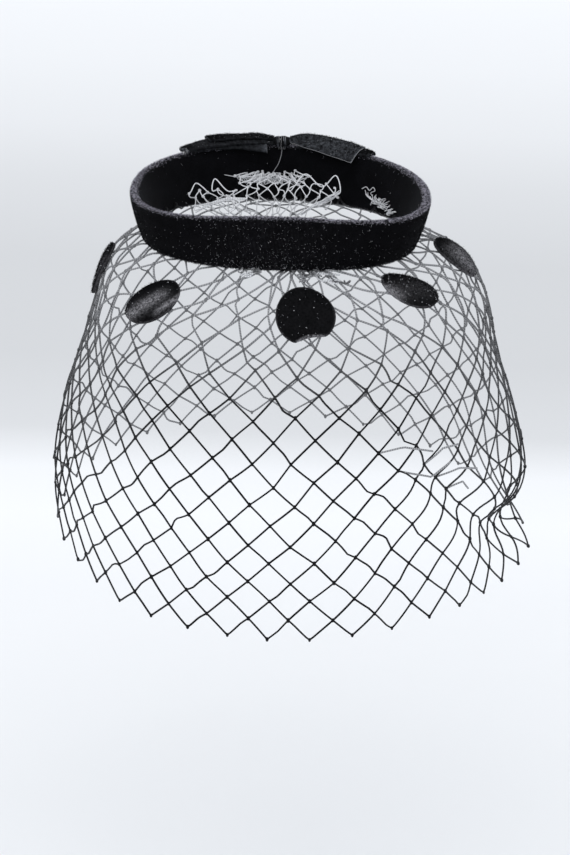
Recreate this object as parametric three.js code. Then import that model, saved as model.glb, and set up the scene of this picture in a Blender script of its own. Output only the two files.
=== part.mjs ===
// An open circlet hat with a face veil: a flared velvet band, a skirt of coarse diamond net that is
// gathered under it, velvet dots on the net, a fan of net over the crown and a flat velvet bow.
// Millimetres, +Z up. The wearer faces -Y, and angles turn from the front (-Y) towards +X.
// The origin is the centre of the band's lower rim, where the hat sits on the head.
import * as THREE from "three";

// Band
const BAND_HEIGHT = 29;
const BAND_WALL = 4.3;
const BAND_RADIUS_BOTTOM = 71;
const BAND_RADIUS_TOP = 78;
const BAND_BULGE = 0.6;
const BAND_SEGMENTS = 56;
const PLAN_POWER = 2.36; // 2 would be an ellipse, more is squarer
const EGG_SHIFT = 11; // the widest line lies this far forward of the middle
const SIDE_DIP_TOP = 2.9;
const SIDE_RISE_BOTTOM = 1.5;
const FRONT_CORNER_DIP = 1.7;

// Cloth
const NET_THICKNESS = 1.2;
const NET_BAR = 2.6;
const DOT_THICKNESS = 1.6;
const RIBBON_THICKNESS = 1.1;
const GAP = 0.35; // clearance between pieces that touch
const DOT_GAP = 0.55; // a stiff dot touches the slack net only here and there

// Veil: its heading is tucked up inside the band, then the net turns under the rim and hangs
const VEIL_COLUMNS = 28;
const VEIL_LENGTH = 210; // nominal, heading to hem
const HEADING_HEIGHT = 9;
const HEADING_LEVELS = [0, 6.8, 8.6, 10.4, 12.2, 17];
const MESH_LEVELS = [17, 28, 66, 120, 178, 210];
const RIM_TURN_OUT = 4;

// How far the net stands from the hat's axis, and how high, at five levels on eight sides.
// The net is caught up in a tuck on its right side, above a flounce.
const VEIL_LEVELS = ["brow", "cheek", "jaw", "tuck", "hem"];
const VEIL_SECTIONS = [
  { angle: 0, brow: [95, -25], cheek: [110, -88], jaw: [111, -126], tuck: [111, -157], hem: [111, -184] },
  { angle: 45, brow: [110, -15], cheek: [118, -80], jaw: [121, -120], tuck: [121, -150], hem: [123, -177] },
  { angle: 90, brow: [103, -15], cheek: [119, -64], jaw: [136, -121], tuck: [131, -152], hem: [140, -174] },
  { angle: 135, brow: [104, -16], cheek: [122, -66], jaw: [131, -104], tuck: [132, -131], hem: [133, -152] },
  { angle: 180, brow: [101, -18], cheek: [115, -67], jaw: [119, -98], tuck: [120, -122], hem: [121, -143] },
  { angle: 225, brow: [99, -15], cheek: [111, -69], jaw: [116, -101], tuck: [118, -126], hem: [119, -149] },
  { angle: 270, brow: [90, -17], cheek: [105, -68], jaw: [117, -118], tuck: [117, -142], hem: [116, -162] },
  { angle: 315, brow: [108, -28], cheek: [107, -82], jaw: [109, -121], tuck: [109, -152], hem: [108, -179] },
];

// Dots: where each one sits round the head, and how far down the net from its heading
const DOT_RADIUS = 15.2;
const DOT_GRID = 6;
const DOTS = [
  { name: "dot_front", angle: 8, drop: 39.5 },
  { name: "dot_front_left", angle: -39, drop: 40 },
  { name: "dot_front_right", angle: 42.5, drop: 34.5 },
  { name: "dot_side_left", angle: -88, drop: 49.5 },
  { name: "dot_side_right", angle: 85, drop: 35 },
];

// Crown net: a fan of mesh from the front of the band to its back, lying over the head
const CROWN_COLUMNS = 4;
const CROWN_LEVELS = [0, 25, 53, 81, 109, 134];
const CROWN_SIDE_DROOP = 6;
const CROWN_SECTIONS = [
  { y: -65.3, halfWidth: 24, height: 3 },
  { y: -32, halfWidth: 44, height: 15 },
  { y: 2, halfWidth: 50, height: 19 },
  { y: 36, halfWidth: 46, height: 19 },
  { y: 69.2, halfWidth: 24, height: 15 },
];

// Bow: ribbons laid along the back rim. A station of a ribbon gives how far it is along the rim, where
// its front and back edges lie from the middle of the band's wall, how high they are, and its arch.
const BOW_ARCH_RADIUS = 6;
const KNOT_HALF = 5;
const KNOT_HALF_SPAN = 4.5;
const KNOT_HEIGHT = 4;
const KNOT_BLUNTNESS = 0.75; // 1 would be an ellipsoid, less is boxier
const RIBBON_ROWS = 5;
const STATION_STEPS = 3;
const RIBBONS = [
  {
    name: "bow_loop_left",
    turn: -1,
    stations: [
      { along: 5.6, front: -2.6, frontHeight: 30.4, back: 2.6, backHeight: 31.6, arch: 0.5 },
      { along: 18, front: -4.2, frontHeight: 30.4, back: 5, backHeight: 32, arch: 0.5 },
      { along: 36, front: -4.2, frontHeight: 30.5, back: 5, backHeight: 31.9, arch: 0.5 },
      { along: 52, front: -3.4, frontHeight: 30.6, back: 4, backHeight: 31.2, arch: 0.5 },
      { along: 56, front: -3, frontHeight: 30.2, back: 3.4, backHeight: 30.5, arch: 0.4 },
      { along: 52, front: -3, frontHeight: 29.3, back: 3.4, backHeight: 29.3, arch: 0.8 },
      { along: 30, front: -4.2, frontHeight: 28.6, back: 3.4, backHeight: 29.2, arch: 1 },
      { along: 9, front: -6.8, frontHeight: 26.4, back: 2.6, backHeight: 28.9, arch: 2.2 },
    ],
  },
  {
    name: "bow_tail_left",
    turn: -1,
    stations: [
      { along: 5.8, front: -1.6, frontHeight: 32.4, back: 3.2, backHeight: 33, arch: 0.3 },
      { along: 18, front: -2.2, frontHeight: 32.6, back: 5.6, backHeight: 33.7, arch: 0.3 },
      { along: 32, front: -2, frontHeight: 32.9, back: 5.6, backHeight: 33.6, arch: 0.3 },
      { along: 40.5, front: -1.2, frontHeight: 33, back: 5.2, backHeight: 33.4, arch: 0.3 },
    ],
  },
  {
    name: "bow_loop_right",
    turn: 1,
    stations: [
      { along: 5.6, front: -1.2, frontHeight: 30.7, back: 2.6, backHeight: 31.6, arch: 0.5 },
      { along: 18, front: -1.2, frontHeight: 30.7, back: 4.8, backHeight: 31.9, arch: 0.5 },
      { along: 36, front: -1.2, frontHeight: 30.6, back: 4.8, backHeight: 31.6, arch: 0.5 },
      { along: 47, front: -1.4, frontHeight: 30.4, back: 4.2, backHeight: 31.1, arch: 0.5 },
      { along: 50.8, front: -2.6, frontHeight: 29.9, back: 3.4, backHeight: 30.4, arch: 0.4 },
      { along: 47, front: -2.8, frontHeight: 29.1, back: 3.4, backHeight: 29.3, arch: 0.9 },
      { along: 30, front: -3.6, frontHeight: 28.7, back: 3.4, backHeight: 29.2, arch: 1 },
      { along: 9, front: -3.6, frontHeight: 28.7, back: 2.6, backHeight: 29.2, arch: 1 },
    ],
  },
  {
    name: "bow_tail_right",
    turn: 1,
    stations: [
      { along: 5.8, front: -4, frontHeight: 30.6, back: 3.4, backHeight: 33.4, arch: 1 },
      { along: 14, front: -5.4, frontHeight: 29.2, back: 5.2, backHeight: 33.7, arch: 1.4 },
      { along: 26, front: -7, frontHeight: 27.6, back: 5.4, backHeight: 33.6, arch: 1.9 },
      { along: 36, front: -8, frontHeight: 26.4, back: 5, backHeight: 33, arch: 2.5 },
      { along: 44.6, front: -8.6, frontHeight: 25.8, back: 4.4, backHeight: 32.6, arch: 2.8 },
    ],
  },
];

const velvet = new THREE.MeshStandardMaterial({ color: 0x0c0b0e, roughness: 0.95, metalness: 0 });
const ribbonVelvet = new THREE.MeshStandardMaterial({ color: 0x131216, roughness: 0.9, metalness: 0 });
const netThread = new THREE.MeshStandardMaterial({ color: 0x16161a, roughness: 0.55, metalness: 0 });

const hat = new THREE.Group();

function addPiece(name, geometry, material) {
  const mesh = new THREE.Mesh(geometry, material);
  mesh.name = name;
  hat.add(mesh);
}

// Moves every vertex of a geometry by a function from point to point.
function reshape(geometry, move) {
  const position = geometry.getAttribute("position");
  const point = new THREE.Vector3();
  for (let i = 0; i < position.count; i++) {
    const moved = move(point.fromBufferAttribute(position, i));
    position.setXYZ(i, moved.x, moved.y, moved.z);
  }
  return geometry;
}

// Gives a flat pattern the form of a surface and a thickness, and closes every edge and hole.
// pattern holds points [across, up] and triangles that run anticlockwise as seen from outside.
function thickSheet(pattern, surface, thickness, lift = 0) {
  const STEP = 0.001;
  const outer = [];
  const inner = [];
  for (const [u, v] of pattern.points) {
    const point = surface(u, v);
    const alongU = surface(u + STEP, v).sub(surface(u - STEP, v));
    const alongV = surface(u, v + STEP).sub(surface(u, v - STEP));
    const normal = alongU.cross(alongV).normalize();
    outer.push(point.clone().addScaledVector(normal, lift + thickness / 2));
    inner.push(point.clone().addScaledVector(normal, lift - thickness / 2));
  }
  const count = pattern.points.length;
  const edges = new Set();
  const index = [];
  for (const [a, b, c] of pattern.triangles) {
    index.push(a, b, c);
    index.push(count + a, count + c, count + b);
    edges.add(`${a}-${b}`).add(`${b}-${c}`).add(`${c}-${a}`);
  }
  for (const edge of edges) {
    const [a, b] = edge.split("-").map(Number);
    if (edges.has(`${b}-${a}`)) continue;
    index.push(b, a, count + a);
    index.push(b, count + a, count + b);
  }
  return new THREE.BufferGeometry().setFromPoints([...outer, ...inner]).setIndex(index);
}

// A rectangular pattern from a plane geometry.
function planePattern(width, height, columns, rows) {
  const plane = new THREE.PlaneGeometry(width, height, columns, rows);
  const position = plane.getAttribute("position");
  const points = [];
  for (let i = 0; i < position.count; i++) points.push([position.getX(i), position.getY(i)]);
  const triangles = [];
  const index = plane.getIndex().array;
  for (let i = 0; i < index.length; i += 3) triangles.push([index[i], index[i + 1], index[i + 2]]);
  return { points, triangles };
}

// Pattern of a net. Points are [column, up], with up in millimetres and negative below the heading.
class NetPattern {
  constructor(columnWidth, turn = 0) {
    this.columnWidth = columnWidth;
    this.turn = turn; // columns after which a closed net meets itself, 0 on an open one
    this.points = [];
    this.triangles = [];
    this.numbers = new Map();
  }

  point(column, drop) {
    const place = this.turn ? (column + this.turn) % this.turn : column;
    const key = `${Math.round(place * 1000)},${Math.round(drop * 1000)}`;
    if (!this.numbers.has(key)) {
      this.numbers.set(key, this.points.length);
      this.points.push([place, -drop]);
    }
    return this.numbers.get(key);
  }

  ring(corners) {
    return corners.flatMap(([column, drop], i) => {
      const [nextColumn, nextDrop] = corners[(i + 1) % corners.length];
      return [this.point(column, drop), this.point((column + nextColumn) / 2, (drop + nextDrop) / 2)];
    });
  }

  // One diamond of four half bars round a gap.
  diamond(column, top, side, bottom) {
    const half = this.columnWidth(side) / 2;
    const upper = side - top;
    const lower = bottom - side;
    const kept = (height) => 1 - ((NET_BAR / 2) * Math.hypot(half, height)) / (half * height);
    const reach = 0.25 * (kept(upper) + kept(lower));
    const bars = this.ring([[column, top], [column - 0.5, side], [column, bottom], [column + 0.5, side]]);
    const gap = this.ring([
      [column, side - upper * kept(upper)],
      [column - reach, side],
      [column, side + lower * kept(lower)],
      [column + reach, side],
    ]);
    bars.forEach((from, i) => {
      const next = (i + 1) % bars.length;
      this.triangles.push([from, bars[next], gap[next]], [from, gap[next], gap[i]]);
    });
  }

  // A gathered tooth between two diamonds, under the heading.
  tooth(column, top, side) {
    const left = this.point(column, top);
    const right = this.point(column + 1, top);
    const tip = this.point(column + 0.5, side);
    const leftMiddle = this.point(column + 0.25, (top + side) / 2);
    const rightMiddle = this.point(column + 0.75, (top + side) / 2);
    this.triangles.push([left, leftMiddle, right], [leftMiddle, rightMiddle, right]);
    this.triangles.push([leftMiddle, tip, rightMiddle]);
  }

  strip(column, top, bottom) {
    const corners = [[column, top], [column, bottom], [column + 1, bottom], [column + 1, top]];
    const [a, b, c, d] = corners.map(([place, drop]) => this.point(place, drop));
    this.triangles.push([a, b, c], [a, c, d]);
  }
}

// A point of the band: height up its wall, and offset outward from the wall's middle.
function bandPoint(angle, height, offset) {
  const share = height / BAND_HEIGHT;
  const sine = Math.sin(angle);
  const cosine = Math.cos(angle);
  const squareness = (Math.abs(sine) ** PLAN_POWER + Math.abs(cosine) ** PLAN_POWER) ** (-1 / PLAN_POWER);
  const outerRadius = THREE.MathUtils.lerp(BAND_RADIUS_BOTTOM, BAND_RADIUS_TOP, share);
  const radius = outerRadius - BAND_WALL / 2 + offset;
  const corner = cosine > 0 ? Math.sin(2 * angle) ** 2 : 0;
  const dip = THREE.MathUtils.lerp(-SIDE_RISE_BOTTOM, SIDE_DIP_TOP, share);
  return new THREE.Vector3(
    radius * squareness * sine,
    -radius * squareness * cosine - EGG_SHIFT * (radius / BAND_RADIUS_TOP) * sine ** 2,
    height - dip * sine ** 2 - FRONT_CORNER_DIP * share * corner,
  );
}

// The band's wall has round rims and swells a little between them.
function bandGeometry() {
  const half = BAND_WALL / 2;
  const section = new THREE.Shape();
  section.moveTo(half, half);
  section.quadraticCurveTo(half + 2 * BAND_BULGE, BAND_HEIGHT / 2, half, BAND_HEIGHT - half);
  section.absarc(0, BAND_HEIGHT - half, half, 0, Math.PI);
  section.lineTo(-half, half);
  section.absarc(0, half, half, Math.PI, 2 * Math.PI);
  const profile = section.getPoints(3).map((p) => new THREE.Vector2(BAND_RADIUS_TOP + p.x, p.y));
  return reshape(new THREE.LatheGeometry(profile, BAND_SEGMENTS), (p) => {
    const angle = Math.atan2(p.x, p.z);
    return bandPoint(angle, p.y, Math.hypot(p.x, p.z) - BAND_RADIUS_TOP);
  });
}

// Closed rings of the veil at each level of its table
const veilRings = VEIL_LEVELS.map((level) => {
  const points = VEIL_SECTIONS.map((section) => {
    const angle = THREE.MathUtils.degToRad(section.angle);
    const [reach, height] = section[level];
    return new THREE.Vector3(reach * Math.sin(angle), -reach * Math.cos(angle), height);
  });
  return new THREE.CatmullRomCurve3(points, true);
});

const meridians = new Map();

// The line that the net follows from its heading to its hem, at a share of the way round.
function veilMeridian(share) {
  const key = Math.round(share * 1e6);
  if (!meridians.has(key)) {
    const angle = 2 * Math.PI * share;
    const around = share - Math.floor(share);
    const clear = BAND_WALL / 2 + GAP + NET_THICKNESS / 2;
    const rim = BAND_WALL / 2;
    const underRim = [180, 225, 270].map((degrees) => {
      const turn = THREE.MathUtils.degToRad(degrees);
      return bandPoint(angle, rim + clear * Math.sin(turn), clear * Math.cos(turn));
    });
    const points = [
      bandPoint(angle, HEADING_HEIGHT, -clear),
      ...underRim,
      bandPoint(angle, rim - clear - NET_THICKNESS / 2, RIM_TURN_OUT),
      ...veilRings.map((ring) => ring.getPoint(around)),
    ];
    const curve = new THREE.CatmullRomCurve3(points);
    curve.arcLengthDivisions = 120;
    meridians.set(key, curve);
  }
  return meridians.get(key);
}

// A point of the veil at a share of the way round, so far down from its heading's top edge.
function veilPoint(share, drop) {
  const down = THREE.MathUtils.clamp(drop / VEIL_LENGTH, 0, 1);
  return veilMeridian(share).getPointAt(down);
}

function veilGeometry() {
  const columnWidth = (drop) => {
    const side = veilPoint(0.25, drop);
    return (2 * Math.PI * Math.hypot(side.x, side.y)) / VEIL_COLUMNS;
  };
  const net = new NetPattern(columnWidth, VEIL_COLUMNS);
  for (let column = 0; column < VEIL_COLUMNS; column++) {
    for (let i = 1; i < HEADING_LEVELS.length; i++) {
      net.strip(column, HEADING_LEVELS[i - 1], HEADING_LEVELS[i]);
    }
    net.tooth(column, MESH_LEVELS[0], MESH_LEVELS[1]);
    for (let row = 0; row + 2 < MESH_LEVELS.length; row++) {
      net.diamond(column + (row % 2) / 2, ...MESH_LEVELS.slice(row, row + 3));
    }
  }
  return thickSheet(net, (column, up) => veilPoint(column / VEIL_COLUMNS, -up), NET_THICKNESS);
}

// A round dot that lies on the outside of the net: a square grid pressed into a disc.
function dotGeometry({ angle, drop }) {
  const share = angle / 360;
  const girth = veilPoint(share + 0.005, drop).distanceTo(veilPoint(share - 0.005, drop)) / 0.01;
  const rise = VEIL_LENGTH / veilMeridian(share).getLength();
  const disc = planePattern(2, 2, DOT_GRID, DOT_GRID);
  disc.points = disc.points.map(([u, v]) => [
    DOT_RADIUS * u * Math.sqrt(1 - (v * v) / 2),
    DOT_RADIUS * v * Math.sqrt(1 - (u * u) / 2),
  ]);
  const surface = (across, up) => veilPoint(share + across / girth, drop - up * rise);
  const lift = NET_THICKNESS / 2 + DOT_GAP + DOT_THICKNESS / 2;
  return thickSheet(disc, surface, DOT_THICKNESS, lift);
}

// The fan of net over the crown: a low dome whose rows of mesh curve with the band.
function crownGeometry() {
  const length = CROWN_LEVELS.at(-1);
  const rows = CROWN_SECTIONS.map((row) => new THREE.Vector3(row.halfWidth, row.y, row.height));
  const spine = new THREE.CatmullRomCurve3(rows);
  const section = (drop) => spine.getPoint(THREE.MathUtils.clamp(drop / length, 0, 1));
  const net = new NetPattern((drop) => (2 * section(drop).x) / CROWN_COLUMNS);
  for (let row = 0; row + 2 < CROWN_LEVELS.length; row++) {
    const inset = row % 2;
    for (let i = 0; i < CROWN_COLUMNS - inset; i++) {
      net.diamond(0.5 + i + inset / 2, ...CROWN_LEVELS.slice(row, row + 3));
    }
  }
  const surface = (column, up) => {
    const { x: halfWidth, y: middle, z: height } = section(-up);
    const x = halfWidth * ((2 * column) / CROWN_COLUMNS - 1);
    const side = Math.abs(x) / BAND_RADIUS_BOTTOM;
    const y = middle * (1 - side ** PLAN_POWER) ** (1 / PLAN_POWER);
    return new THREE.Vector3(x, y, height - CROWN_SIDE_DROOP * side ** 2);
  };
  return thickSheet(net, surface, NET_THICKNESS);
}

// A point of the bow: along the back rim from its middle, across the rim and lifted off it.
function bowPoint(along, across, lift) {
  const angle = Math.PI - along / BAND_RADIUS_TOP;
  const slope = across / BOW_ARCH_RADIUS;
  const steep = Math.hypot(1, slope);
  const drop = (across * slope) / 2;
  return bandPoint(angle, BAND_HEIGHT - drop + lift / steep, across + (lift * slope) / steep);
}

// A ribbon that runs through its stations, from the knot out along the rim.
function ribbonGeometry({ turn, stations }) {
  const line = (read) => new THREE.CatmullRomCurve3(stations.map((row) => new THREE.Vector3(...read(row))));
  const frontLine = line((row) => [row.along, row.front, row.frontHeight]);
  const backLine = line((row) => [row.arch, row.back, row.backHeight]);
  const surface = (u, v) => {
    const way = THREE.MathUtils.clamp(0.5 + turn * u, 0, 1);
    const { x: along, y: front, z: frontHeight } = frontLine.getPoint(way);
    const { x: arch, y: back, z: backHeight } = backLine.getPoint(way);
    const share = (1 - v) / 2;
    const across = THREE.MathUtils.lerp(front, back, share);
    const height = THREE.MathUtils.lerp(frontHeight, backHeight, share) + arch * (1 - v * v);
    return bandPoint(Math.PI - (turn * along) / BAND_RADIUS_TOP, height, across);
  };
  const steps = STATION_STEPS * (stations.length - 1);
  return thickSheet(planePattern(1, 2, steps, RIBBON_ROWS), surface, RIBBON_THICKNESS);
}

// The tied middle: a cushion with blunt sides, seated on the rim between the ribbons.
function knotGeometry() {
  const blunt = (share) => Math.sign(share) * Math.abs(share) ** KNOT_BLUNTNESS;
  return reshape(new THREE.SphereGeometry(1, 16, 10), (p) => {
    const lift = GAP + KNOT_HEIGHT * (0.5 + 0.5 * blunt(p.z));
    return bowPoint(KNOT_HALF * blunt(p.x), KNOT_HALF_SPAN * blunt(p.y), lift);
  });
}

addPiece("band", bandGeometry(), velvet);
addPiece("veil", veilGeometry(), netThread);
addPiece("crown_net", crownGeometry(), netThread);
for (const dot of DOTS) addPiece(dot.name, dotGeometry(dot), velvet);
for (const ribbon of RIBBONS) addPiece(ribbon.name, ribbonGeometry(ribbon), ribbonVelvet);
addPiece("bow_knot", knotGeometry(), ribbonVelvet);

export default hat;
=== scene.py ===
"""Dresses the frame of an open velvet circlet hat: band, hanging net, dots, crown net, bow and stage."""

import math

import bmesh
import bpy
import numpy as np
from mathutils import Matrix, Vector


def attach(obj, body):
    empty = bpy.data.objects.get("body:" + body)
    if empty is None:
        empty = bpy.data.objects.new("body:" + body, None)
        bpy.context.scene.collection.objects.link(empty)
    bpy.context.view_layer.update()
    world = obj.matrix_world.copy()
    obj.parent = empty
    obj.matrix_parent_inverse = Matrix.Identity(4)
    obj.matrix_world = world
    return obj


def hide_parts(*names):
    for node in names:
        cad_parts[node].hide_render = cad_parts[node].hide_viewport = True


bl_info = {
    "name": "Veiled circlet hat",
    "version": (1, 0, 0),
    "blender": (4, 5, 0),
    "location": "3D View > Sidebar > Hat",
    "description": "Velvet, net, dots, ribbon and lint for an open circlet hat",
    "category": "Object",
}

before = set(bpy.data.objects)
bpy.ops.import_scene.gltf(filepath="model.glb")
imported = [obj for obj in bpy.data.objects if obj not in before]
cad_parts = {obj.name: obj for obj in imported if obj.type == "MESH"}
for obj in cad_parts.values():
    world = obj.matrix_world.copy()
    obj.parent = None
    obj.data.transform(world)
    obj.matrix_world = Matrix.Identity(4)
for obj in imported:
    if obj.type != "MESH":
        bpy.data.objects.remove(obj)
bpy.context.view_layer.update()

MM = 0.001
FULL_TURN = 2 * math.pi

# Band, as in the frame: angle 0 is the front, and angles grow towards +X
BAND_HEIGHT = 29 * MM
BAND_WALL = 4.3 * MM
BAND_RADIUS_BOTTOM = 71 * MM
BAND_RADIUS_TOP = 78 * MM
BAND_BULGE = 0.6 * MM
PLAN_POWER = 2.36
EGG_SHIFT = 11 * MM
SIDE_DIP_TOP = 2.9 * MM
SIDE_RISE_BOTTOM = 1.5 * MM
FRONT_CORNER_DIP = 1.7 * MM
BAND_STEPS = 240
BAND_RIBS = 276
RIB_SLANT = 2600.0

# Pile: length and width of a fibre, on the band's rims and on all other faces
RIM_NAP = (1.25 * MM, 0.13 * MM)
FACE_NAP = (0.8 * MM, 0.12 * MM)

# Lint: its colours, and on each cloth the share of long fibres and the thickness against the band's
LINT_PALE = (0.8, 0.8, 0.82)
LINT_DUSTY = (0.2, 0.2, 0.22)
BAND_LINT = (0.22, 1.0)
DOT_LINT = (0.12, 2.4)
RIBBON_LINT = (0.15, 1.3)
RIBBON_SPECKS = 45

# Seeds of the random draws
SEEDS = {"band": 11, "net": 23, "veil": 5, "crown": 31, "dots": 61, "bow": 47, "lint": 71}

# Net, as in the frame
NET_THICKNESS = 1.2 * MM
GAP = 0.35 * MM
VEIL_LENGTH = 210 * MM
HEADING_HEIGHT = 9 * MM
RIM_TURN_OUT = 4 * MM

# Threads and knots: the drop where columns stand evenly, sides and twist of a thread, and shape of a knot
JAW_DROP = 150 * MM
THREAD_SIDES = 6
LINT_SIDES = 4
TWIST_LENGTH = 1.3  # millimetres
KNOT_SHAPE = np.array([0.42, 0.62, 0.42])

# Rough girths of the net, in metres, which turn a length across it into a share of the way round
GIRTH_AT_CHEEKS = 0.72
GIRTH_AT_FOLDS = 0.62
GIRTH_AT_DOTS = 0.6

VEIL_SECTIONS = np.array([
    # brow, cheek, jaw, tuck and hem, each as reach and height, on eight sides from the front
    [[95, -25], [110, -88], [111, -126], [111, -157], [111, -184]],
    [[110, -15], [118, -80], [121, -120], [121, -150], [123, -177]],
    [[103, -15], [119, -64], [136, -121], [131, -152], [140, -174]],
    [[104, -16], [122, -66], [131, -104], [132, -131], [133, -152]],
    [[101, -18], [115, -67], [119, -98], [120, -122], [121, -143]],
    [[99, -15], [111, -69], [116, -101], [118, -126], [119, -149]],
    [[90, -17], [105, -68], [117, -118], [117, -142], [116, -162]],
    [[108, -28], [107, -82], [109, -121], [109, -152], [108, -179]],
]) * MM

# Gathers at the band: degrees round the head, degrees of reach, strength, and millimetres of reach down
GATHERS = [(7, 60, 0.78, 78), (112, 22, 0.5, 60), (158, 22, 0.5, 60), (204, 22, 0.5, 60), (246, 20, 0.5, 55)]

# Places where the net is drawn together: a path in degrees round the head and millimetres down from the
# heading, how far it reaches and how deep it goes in millimetres, and its pull
FOLDS = [
    {"reach": 8, "pull": 0.8, "depth": 0,
     "path": [(-35, 53), (-29, 43), (-22, 34), (-15, 21.5), (-6, 15), (3, 15.5)]},
    {"reach": 7, "pull": 0.75, "depth": 0, "path": [(12, 16), (20, 23), (24, 33), (28, 45)]},
    {"reach": 6, "pull": 0.6, "depth": 0, "path": [(8.5, 14), (24, 16), (35, 26), (42, 42.5)]},
    {"reach": 10, "pull": 0.75, "depth": 8,
     "path": [(41.5, 131), (49, 145), (57, 161), (70, 178), (90, 190)]},
]

# Tangles where the net is gathered under the band: degrees round the head, millimetres down and threads
BUNCHES = [(12, 16, 12), (-11, 15, 6), (21, 18, 6)]

# Threads that have come loose on the right cheek: degrees, millimetres down, millimetres off the net
LOOSE_ENDS = [
    [(31, 116, 0), (35.5, 114.5, 2.5), (42.5, 121, 1.2)],
    [(34.5, 121, 0), (40, 129, 2.2), (45, 135, 2.6), (49.5, 130, 1.5)],
    [(46.5, 134, 0), (52.5, 132.5, 2.4), (59.5, 139, 1.2)],
    [(50, 146, 0), (54, 143, 2.6), (57, 149, 1.6)],
    [(44, 127, 0), (46.5, 120, 2.0), (51, 121, 2.6)],
]

# Dots: place on the net, as in the frame, and radius as a share of DOT_RADIUS; tilt: degrees round the dot
# and millimetres that its edge stands out there; notch: degrees round the dot, and share of its radius that
# is worn away there; specks of lint; patches of brushed pile, and on the right side dot of painted sheen:
# place, degrees of the long way, reach both ways and strength
DOT_RADIUS = 14.6 * MM
DOT_THICKNESS = 1.2 * MM
DOT_GAP = 0.55 * MM
DOT_GRID = 26
NOTCH_HALF_WIDTH = math.radians(29)
DOTS = [
    {"name": "dot_front", "angle": 8, "drop": 39.5, "size": 1.02, "tilt": (0, 0), "notch": (-81, 0.2),
     "lint": 46, "patches": [(0, 0, 0, 2, 2, 0.02)]},
    {"name": "dot_front_left", "angle": -39, "drop": 40, "size": 0.95, "tilt": (-40, 4), "notch": (0, 0),
     "lint": 34, "patches": [(0.02, -0.18, 57, 0.68, 0.3, 1), (0.8, -0.1, 63, 0.5, 0.12, 1),
                             (-0.38, -0.82, 30, 0.35, 0.2, 0.7)]},
    {"name": "dot_front_right", "angle": 42.5, "drop": 34.5, "size": 0.93, "tilt": (-160, 2.5),
     "notch": (0, 0), "lint": 95, "patches": [(-0.95, -0.15, 90, 0.4, 0.3, 1), (0, -0.1, 0, 0.9, 0.6, 0.13)]},
    {"name": "dot_side_left", "angle": -88, "drop": 49.5, "size": 0.99, "tilt": (120, 1), "notch": (0, 0),
     "lint": 16, "patches": [(0.3, 0, 80, 0.6, 0.4, 0.4)]},
    # Its big pale patch is mostly painted sheen, the pile seen at a glancing angle in the light
    {"name": "dot_side_right", "angle": 85, "drop": 35, "size": 1.02, "tilt": (54, 2.9), "notch": (0, 0),
     "lint": 26, "patches": [(0.05, -0.45, 75, 0.85, 0.8, 1)]},
]

# Crown net: a low dome from the front of the band to its back, in millimetres. On either side the net goes
# only so far back, and between the sides of its tongue to the band
CROWN_COLUMNS = 17
CROWN_ROWS = 10
CROWN_DROOP = 6 * MM
CROWN_BACK_LEFT = 14 * MM
CROWN_BACK_RIGHT = 24 * MM
CROWN_TONGUE = (-22 * MM, 12 * MM)
CROWN_SECTIONS = np.array([
    # half width, y and height
    [24, -65.3, 3],
    [44, -32, 15],
    [50, 2, 19],
    [46, 36, 19],
    [24, 69.2, 15],
]) * MM
CROWN_EDGE = [
    # the free back edge, in standing loops
    [(-47.4, 18, 16.2), (-45.2, 28, 18.2), (-38.2, 12, 17.5)],
    [(-35.7, 15, 17.6), (-35.2, 30, 20.4), (-27.2, 13, 18.2)],
    [(4.9, 15, 19), (7.5, 24, 19.6), (13.3, 36, 23), (21.9, 26, 18.8), (29, 37, 22.4), (31.4, 18, 18)],
]
CROWN_RIGHT = np.array([
    # where the net ends on the right: x and y
    [26, -40],
    [14, -22],
    [21, -8],
    [27, 0],
    [33, 18],
    [14, 40],
    [12, 70],
]) * MM
CROWN_BUNDLES = [
    [(31.4, 18, 18), (24.4, 0, 18.4), (18.1, -8, 17.7), (10.8, -22, 16.4)],
    [(-44, -15, 15), (-29.9, -5, 17.5), (-18, -3, 18.6)],
    [(-28, 1, 18.2), (-22, -10, 17.4), (-26, -20, 15.8)],
]

# Radius of each kind of crown thread, against the net's diameter, and size of a crown knot against the net's
CROWN_THREAD = 0.27
FRAYED_THREAD = 0.19
CURLED_THREAD = 0.22
CROWN_KNOT = 0.75

# Frayed heading of the net inside the band: degrees round the head and millimetres up, where it starts and
# where it ends, and threads; and one end that curls off it
FRAYED_HEADING = [(172, 11.5, 198.3, 11.5, 120), (134, 8.2, 122.4, 3.6, 44)]
CURLED_END = [(142, 11.6), (140, 13.2), (138, 11.8), (136.4, 14), (135, 12.6), (137, 10.6),
              (135.4, 8.6), (135.6, 4)]

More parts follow.
